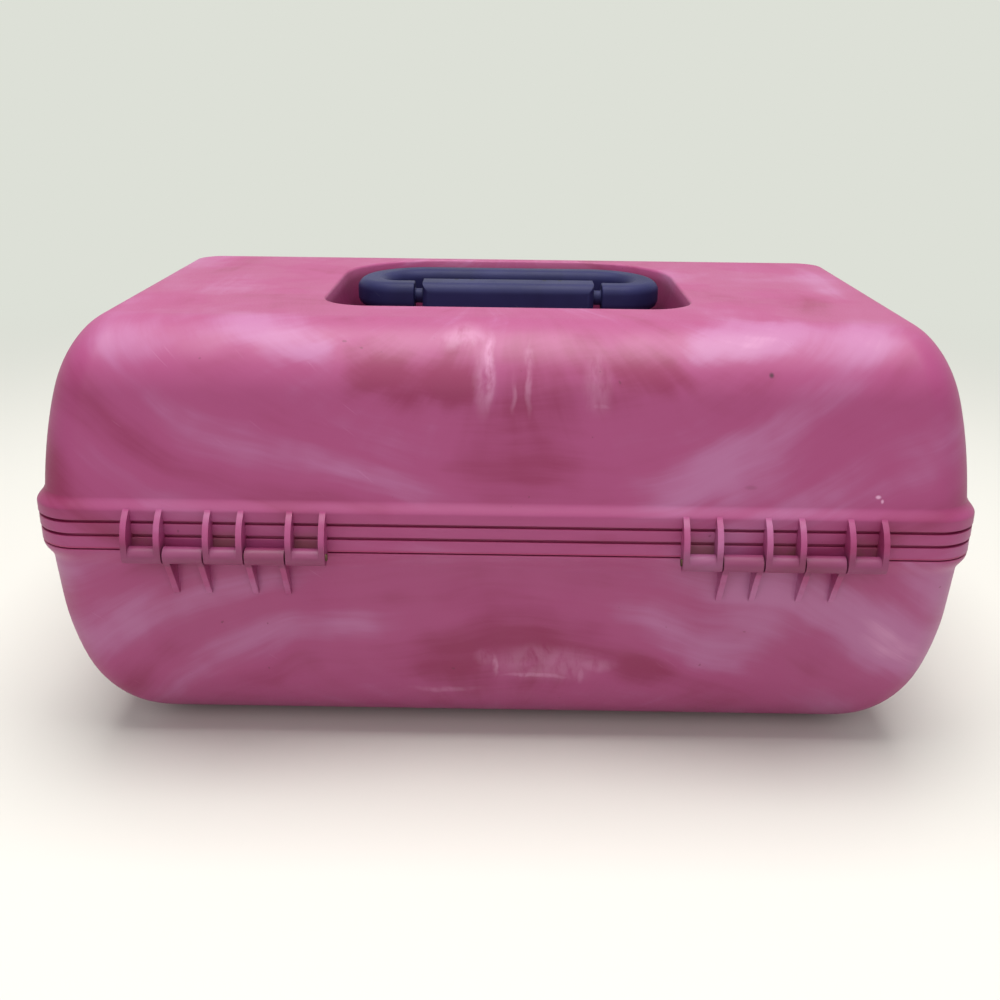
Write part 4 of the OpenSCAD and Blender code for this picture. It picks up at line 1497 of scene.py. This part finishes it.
@dataclass(frozen=True)
class BaseShell:
    """The deep base: flared rim, curled walls, lip, knuckles, gussets, keeper and bosses."""

    form: CaseForm = CaseForm()
    rim_h: float = 0.0075
    rim_inset: float = 0.0004
    step: float = 0.0029
    ends: Curl = Curl(0.034, 0.0415, 0.0604)
    faces: Curl = Curl(0.131, 0.036, 0.0338)
    lip_inset: float = 0.00525
    lip_t: float = 0.0015
    lip_top_z: float = 0.08645
    lip_root_z: float = 0.0797
    gusset_foot_z: float = 0.0662
    boss_r: float = 0.0055
    boss_x: float = 0.1527
    boss_at: tuple[float, float] = (0.006, 0.0769)
    cut_foot_y: float = 0.09981
    cut_rim_y: float = 0.10385
    cut_front_y: float = -0.1037
    cut_under: float = 0.0001
    cut_sink: float = 0.0028

    @property
    def rim_z(self) -> float:
        """Height of the base's rim."""
        return self.form.parting_z - self.form.parting_gap / 2

    @property
    def start_z(self) -> float:
        """Height where the base's wall starts under the rim."""
        return self.form.parting_z - self.rim_h

    def wall(self, inner: float) -> list[Station]:
        """Stations of the base's wall from the floor to the rim.

        Args:
            inner: 0 for the outside, the wall's thickness for the inside.

        Returns:
            The stations.
        """
        run = self.form.wall_run(self.step, (self.ends, self.faces), self.start_z, inner)
        return [(in_x, in_y, self.start_z - down) for in_x, in_y, down in reversed(run)]

    def skin(self, material: bpy.types.Material) -> bpy.types.Object:
        """Makes the base's skin, inside and outside, with its lip, as one closed piece."""
        form = self.form
        flare = swing((self.step, self.start_z), (self.rim_inset, self.rim_z))
        low, high = self.lip_inset, self.lip_inset + self.lip_t
        inner = self.step + form.wall
        lip = [
            flare[-1],
            (low, low, self.rim_z),
            (low, low, self.lip_top_z),
            (high, high, self.lip_top_z),
            (high, high, self.lip_root_z),
            (inner, inner, self.lip_root_z - (high - inner)),
        ]
        inside = self.wall(form.wall)[::-1]
        rim = eased([flare[-2], *lip, inside[0]], 0.0004)
        bm = bmesh.new()
        loft(bm, form.outlines([*self.wall(0.0)[:-1], *flare[:-1], *rim[1:-1], *inside]))
        return new_piece("base_skin", bm, Body.BASE, material)

    def hinge(self) -> BMesh:
        """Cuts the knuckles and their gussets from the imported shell, outside its leaning wall."""
        foot = Vector((0, self.cut_foot_y, self.gusset_foot_z))
        along = Vector((0, self.cut_rim_y, self.rim_z)) - foot
        outwards = Vector((0, along.z, -along.y)).normalized()
        cuts = [(foot, outwards), (foot - Vector((0, 0, self.cut_under)), Vector((0, 0, 1)))]
        return outgrowth("base_shell", cuts, outwards * -self.cut_sink)

    def build(self, material: bpy.types.Material) -> list[bpy.types.Object]:
        """Makes every part of the base.

        Args:
            material: Its finish.

        Returns:
            The pieces.
        """
        even_shading(skin := self.skin(material))
        bosses = self.form.end_bosses(self.step, self.boss_x, self.boss_at, self.boss_r)
        parts = (
            ("base_hinge_knuckles", self.hinge(), 0.0004),
            ("base_keeper", face_outgrowth("base_shell", self.cut_front_y, self.cut_sink), 0.0003),
            ("base_link_bosses", bosses, 0.0006),
        )
        pieces = [skin, *soft_parts(parts, Body.BASE, material)]
        for piece in pieces:
            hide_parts("base_shell")
        return pieces


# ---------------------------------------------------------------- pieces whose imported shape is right


@dataclass(frozen=True)
class CastPiece:
    """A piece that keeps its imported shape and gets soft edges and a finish.

    Attributes:
        node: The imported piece.
        body: The body that it rides on.
        slot: The slot that its finish stands for.
        edge: Width of its rounded edges.
    """

    node: str
    body: Body
    slot: Slot
    edge: float = 0.0003

    def build(self, material: bpy.types.Material) -> bpy.types.Object:
        """Makes the piece.

        Args:
            material: Its finish.

        Returns:
            The piece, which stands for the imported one.
        """
        bm = join_flat(packed_mesh(self.node))
        piece = new_piece(f"{self.node}_soft", bm, self.body, material)
        soften(piece, self.edge)
        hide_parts(self.node)
        return piece


@dataclass(frozen=True)
class Fittings:
    """Handle, latch, tray, links, mirror, pins and rivets."""

    pieces: tuple[CastPiece, ...] = (
        CastPiece("handle_bail", Body.HANDLE, Slot.NAVY, 0.0006),
        CastPiece("handle_bracket", Body.LID, Slot.NAVY, 0.0006),
        CastPiece("bracket_foot", Body.LID, Slot.NAVY, 0.0004),
        CastPiece("bracket_screws", Body.LID, Slot.PIN, 0.00015),
        CastPiece("latch_flap", Body.LATCH, Slot.NAVY, 0.0005),
        CastPiece("latch_pin", Body.LID, Slot.PIN, 0.00015),
        CastPiece("hinge_pin_left", Body.BASE, Slot.PIN, 0.0002),
        CastPiece("hinge_pin_right", Body.BASE, Slot.PIN, 0.0002),
        CastPiece("tray", Body.TRAY, Slot.TRAY, 0.0004),
        CastPiece("tray_divider_left", Body.TRAY, Slot.TRAY),
        CastPiece("tray_divider_right", Body.TRAY, Slot.TRAY),
        CastPiece("link_left", Body.LINKS, Slot.TRAY, 0.0004),
        CastPiece("link_right", Body.LINKS, Slot.TRAY, 0.0004),
        CastPiece("base_rivet_left", Body.BASE, Slot.PIN, 0.0002),
        CastPiece("base_rivet_right", Body.BASE, Slot.PIN, 0.0002),
        CastPiece("tray_rivet_left", Body.TRAY, Slot.PIN, 0.0002),
        CastPiece("tray_rivet_right", Body.TRAY, Slot.PIN, 0.0002),
        CastPiece("lid_rivet_left", Body.LID, Slot.PIN, 0.0002),
        CastPiece("lid_rivet_right", Body.LID, Slot.PIN, 0.0002),
        CastPiece("mirror_frame", Body.LID, Slot.TRAY, 0.0005),
        CastPiece("mirror_glass", Body.LID, Slot.MIRROR, 0.0002),
    )

    def build(self, materials: dict[Slot, bpy.types.Material]) -> list[bpy.types.Object]:
        """Makes every fitting.

        Args:
            materials: The finish for each slot.

        Returns:
            The pieces.
        """
        return [piece.build(materials[piece.slot]) for piece in self.pieces]


# ---------------------------------------------------------------- stage


@dataclass(frozen=True)
class PhotoCamera:
    """The camera at the photograph's viewing angle.

    Attributes:
        place: Where it stands.
        heading: How far it is turned from looking along -Y, in degrees.
        pitch: How far it looks down, in degrees.
        roll: How far it is tilted, in degrees.
        lens: Its focal length in millimetres.
        film: The film's width in millimetres.
        clip: The nearest and the farthest that it sees.
    """

    place: tuple[float, float, float] = (-0.0011, 0.4741, 0.2402)
    heading: float = -0.41
    pitch: float = 20.15
    roll: float = 0.68
    lens: float = 41.25
    film: float = 36.0
    clip: tuple[float, float] = (0.02, 60.0)

    def build(self) -> bpy.types.Object:
        """Makes the camera and gives it to the scene."""
        data = bpy.data.cameras.new("photo_camera")
        data.lens = self.lens
        data.sensor_width = self.film
        data.clip_start, data.clip_end = self.clip
        camera = bpy.data.objects.new("photo_camera", data)
        bpy.context.scene.collection.objects.link(camera)
        pitch, heading, roll = (math.radians(a) for a in (self.pitch, self.heading, self.roll))
        ahead = Vector(
            (-math.sin(heading) * math.cos(pitch), -math.cos(heading) * math.cos(pitch), -math.sin(pitch))
        )
        level = ahead.cross(Vector((0, 0, 1))).normalized()
        upright = level.cross(ahead)
        right = level * math.cos(roll) + upright * math.sin(roll)
        up = upright * math.cos(roll) - level * math.sin(roll)
        turn = Matrix((right, up, -ahead)).transposed().to_4x4()
        camera.matrix_world = Matrix.Translation(Vector(self.place)) @ turn
        bpy.context.scene.camera = camera
        return camera


@dataclass(frozen=True)
class Lamp:
    """A soft square lamp: its name, place, side in metres, watts and the point that it faces."""

    name: str
    place: tuple[float, float, float]
    size: float
    power: float
    aim: tuple[float, float, float] = (0.0, 0.0, 0.09)

    def build(self) -> None:
        """Hangs the lamp."""
        data = bpy.data.lights.new(self.name, "AREA")
        data.size = self.size
        data.energy = self.power
        obj = bpy.data.objects.new(self.name, data)
        bpy.context.scene.collection.objects.link(obj)
        place = Vector(self.place)
        turn = (Vector(self.aim) - place).to_track_quat("-Z", "Y").to_matrix().to_4x4()
        obj.matrix_world = Matrix.Translation(place) @ turn


@dataclass(frozen=True)
class Studio:
    """Floor, world and lamps.

    Attributes:
        floor_half: Half the floor's side.
        floor: The floor's colour.
        floor_rough: Its roughness.
        sky: The colour of the world's light.
        backdrop: The colour of what lies behind.
        glow: How strongly the world lights the case.
        fade: Distances between which the floor turns into the backdrop.
        lamps: The lamps.
    """

    floor_half: float = 12.0
    floor: Colour = (0.70, 0.68, 0.62)
    floor_rough: float = 0.6
    sky: Colour = (0.92, 0.95, 1.0)
    backdrop: Colour = srgb(221, 224, 215)
    glow: float = 0.43
    fade: tuple[float, float] = (0.30, 0.95)
    lamps: tuple[Lamp, ...] = (
        Lamp("top_softbox", (0.0, 0.03, 1.2), 1.0, 18.2),
        Lamp("front_fill", (0.10, 1.50, 0.95), 1.3, 7.0),
    )

    @staticmethod
    def seen(n: Nodes) -> Socket:
        """Share of rays that show the backdrop's own colour: seen, mirrored or through glass."""
        path = n.add("LightPath")
        seen = n.plus(path.outputs["Is Camera Ray"], path.outputs["Is Glossy Ray"], clamp=True)
        return n.plus(seen, path.outputs["Is Transmission Ray"], clamp=True)

    @staticmethod
    def blend(
        n: Nodes, share: Socket, first: bpy.types.Node, second: bpy.types.Node, output: bpy.types.Node
    ) -> None:
        """Mixes two shaders and gives them to the output.

        Args:
            n: The nodes of the material or the world.
            share: How much of the second.
            first: A shader.
            second: Another shader.
            output: The output.
        """
        mixed = n.add("MixShader")
        for item, target in zip((share, first.outputs[0], second.outputs[0]), mixed.inputs):
            n.put(item, target)
        n.put(mixed.outputs[0], output.inputs["Surface"])

    def floor_material(self) -> bpy.types.Material:
        """Makes the floor's finish: pale and matt, and far away the backdrop's colour."""
        material, n, shader = new_material("pale_floor")
        n.put(self.floor, shader.inputs["Base Color"])
        shader.inputs["Roughness"].default_value = self.floor_rough
        away = n.vector("LENGTH", n.add("TexCoord").outputs["Object"])
        share = n.times(n.ramp(away, *self.fade), self.seen(n))
        glow = n.add("Emission")
        n.put(self.backdrop, glow.inputs["Color"])
        self.blend(n, share, shader, glow, material.node_tree.nodes["Material Output"])
        return material

    def build(self) -> None:
        """Makes everything round the object."""
        scene = bpy.context.scene
        scene.view_settings.view_transform = "Standard"
        world = bpy.data.worlds.new("studio")
        scene.world = world
        world.use_nodes = True
        n = Nodes(world.node_tree)
        light = world.node_tree.nodes["Background"]
        n.put(self.sky, light.inputs["Color"])
        light.inputs["Strength"].default_value = self.glow
        shown = n.add("Background")
        n.put(self.backdrop, shown.inputs["Color"])
        self.blend(n, self.seen(n), light, shown, world.node_tree.nodes["World Output"])
        bm = bmesh.new()
        bmesh.ops.create_grid(bm, x_segments=8, y_segments=8, size=self.floor_half)
        mesh = bpy.data.meshes.new("floor")
        bm.to_mesh(mesh)
        bm.free()
        mesh.materials.append(self.floor_material())
        obj = bpy.data.objects.new("floor", mesh)
        scene.collection.objects.link(obj)
        for lamp in self.lamps:
            lamp.build()


# ---------------------------------------------------------------- the whole case


def finishes() -> dict[Slot, bpy.types.Material]:
    """Makes the finish for each of the record's slots.

    Returns:
        The materials.
    """
    lid_patches_and_painted_light = (
        Mark((0.0, 0.10, 0.142), (0.084, 0.06, 0.023), -0.17),
        Mark((-0.004, 0.10, 0.116), (0.030, 0.06, 0.032), -0.13),
        Mark((0.064, 0.10, 0.119), (0.056, 0.06, 0.024), 0.12),
        Mark((-0.068, 0.10, 0.119), (0.056, 0.06, 0.024), 0.11),
        Mark((0.046, 0.09, 0.149), (0.020, 0.03, 0.009), -0.16),
        Mark((0.018, 0.09, 0.141), (0.012, 0.03, 0.010), -0.16),
        Mark((-0.048, 0.09, 0.147), (0.022, 0.03, 0.009), -0.18),
        # Painted highlight: pale patches that brighten the rear rounding where the lamp's sheen falls.
        Mark((0.080, 0.080, 0.155), (0.030, 0.026, 0.012), 0.26),
        Mark((0.066, 0.088, 0.151), (0.012, 0.02, 0.007), 0.20),
        Mark((-0.078, 0.080, 0.155), (0.030, 0.026, 0.012), 0.28),
        Mark((-0.064, 0.088, 0.151), (0.012, 0.02, 0.008), 0.22),
        Mark((0.120, 0.078, 0.156), (0.040, 0.032, 0.014), 0.20),
        Mark((-0.118, 0.078, 0.155), (0.040, 0.032, 0.014), 0.20),
        Mark((0.020, 0.078, 0.158), (0.060, 0.022, 0.009), 0.03),
        # Painted shade: darkens the lid's end at +X.
        Mark((0.162, 0.07, 0.115), (0.026, 0.08, 0.036), -0.26),
        Mark((0.112, 0.006, 0.161), (0.030, 0.04, 0.01), 0.16),
        Mark((-0.126, -0.010, 0.160), (0.022, 0.05, 0.012), 0.20),
    )
    lid_drips = (
        Mark((0.0064, 0.09, 0.1460), (0.0026, 0.04, 0.0165), 0.50),
        Mark((0.0078, 0.09, 0.1440), (0.0048, 0.04, 0.0170), 0.24),
        Mark((0.0140, 0.088, 0.1570), (0.0110, 0.03, 0.0050), 0.30),
        Mark((-0.0020, 0.09, 0.1400), (0.0014, 0.04, 0.0090), 0.20),
        Mark((-0.0072, 0.09, 0.1440), (0.0015, 0.04, 0.0140), 0.24),
        Mark((-0.0072, 0.09, 0.1510), (0.0028, 0.04, 0.0040), 0.20),
        Mark((-0.0320, 0.09, 0.1430), (0.0070, 0.04, 0.0130), 0.17),
        Mark((-0.0305, 0.09, 0.1450), (0.0016, 0.04, 0.0080), 0.20),
        Mark((-0.0330, 0.09, 0.1370), (0.0045, 0.04, 0.0016), 0.22),
    )
    base_marks = (
        Mark((0.0, 0.10, 0.045), (0.062, 0.06, 0.036), -0.19),
        Mark((0.078, 0.10, 0.052), (0.050, 0.06, 0.026), 0.16),
        Mark((-0.080, 0.10, 0.055), (0.050, 0.06, 0.026), 0.16),
        Mark((-0.146, 0.08, 0.057), (0.046, 0.07, 0.036), 0.30),
        Mark((0.146, 0.08, 0.058), (0.044, 0.07, 0.034), 0.18),
        Mark((0.027, 0.10, 0.036), (0.018, 0.06, 0.010), -0.12),
        Mark((-0.052, 0.10, 0.036), (0.018, 0.06, 0.010), -0.12),
    )
    base_drips = (
        Mark((-0.0150, 0.10, 0.0370), (0.0270, 0.05, 0.0105), 0.20),
        Mark((-0.0120, 0.10, 0.0312), (0.0170, 0.05, 0.0017), 0.34),
        Mark((0.0036, 0.10, 0.0365), (0.0020, 0.05, 0.0075), 0.34),
        Mark((0.0060, 0.10, 0.0400), (0.0060, 0.05, 0.0050), 0.16),
        Mark((-0.0340, 0.10, 0.0370), (0.0110, 0.05, 0.0036), 0.20),
        Mark((-0.0290, 0.10, 0.0330), (0.0022, 0.05, 0.0050), 0.22),
        Mark((0.0220, 0.10, 0.0245), (0.0180, 0.05, 0.0022), 0.18),
    )
    lid_dots = (
        Mark((-0.0900, 0.088, 0.1470), (0.0013, 0.02, 0.0013), -0.95),
        Mark((-0.1290, 0.101, 0.1063), (0.0013, 0.02, 0.0009), 0.95),
        Mark((-0.1305, 0.101, 0.1048), (0.0007, 0.02, 0.0010), 0.85),
        Mark((-0.0850, 0.100, 0.1090), (0.0030, 0.02, 0.0011), -0.22),
        Mark((0.1180, 0.060, 0.1500), (0.0060, 0.03, 0.0006), -0.30),
    )
    lid = MarbledFinish("marbled_lid", 0.1608, 1.0, lid_patches_and_painted_light, lid_drips, lid_dots)
    base = MarbledFinish("marbled_base", 0.0, -1.0, base_marks, base_drips)
    # Painted shade: dark marks in front of the bracket's tongue notches, drawing their shaded mouths longer
    # on its top.
    notch_shade_reach = (0.0014, 0.0060, 0.012)
    notch_painted_shade = tuple(
        Mark((x, -0.0137, 0.1570), notch_shade_reach, 0.95) for x in (-0.0218, -0.0152, 0.0152, 0.0218)
    )
    navy = PlainFinish(
        "navy_satin", srgb(38, 38, 80), srgb(31, 31, 69), (0.44, 0.58), specular=0.16, dots=notch_painted_shade
    )
    rose = PlainFinish("tray_rose", srgb(196, 128, 162), srgb(184, 112, 150), (0.42, 0.56))
    metal = PlainFinish("aged_brass", srgb(112, 96, 72), srgb(72, 60, 46), (0.42, 0.6), metallic=1.0)
    glass = PlainFinish("mirror_silver", (0.86, 0.88, 0.89), (0.84, 0.86, 0.88), (0.02, 0.05), 1.0, 0.0)
    return {
        Slot.PLUM_LID: lid.build(),
        Slot.PLUM_BASE: base.build(),
        Slot.NAVY: navy.build(),
        Slot.TRAY: rose.build(),
        Slot.PIN: metal.build(),
        Slot.MIRROR: glass.build(),
    }


def main() -> None:
    """Builds and dresses every piece."""
    logging.basicConfig(level=logging.INFO, format="%(name)s %(message)s")
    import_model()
    PhotoCamera().build()
    Studio().build()
    materials = finishes()
    LidShell().build(materials[Slot.PLUM_LID])
    BaseShell().build(materials[Slot.PLUM_BASE])
    Fittings().build(materials)


if __name__ == "__main__":
    main()
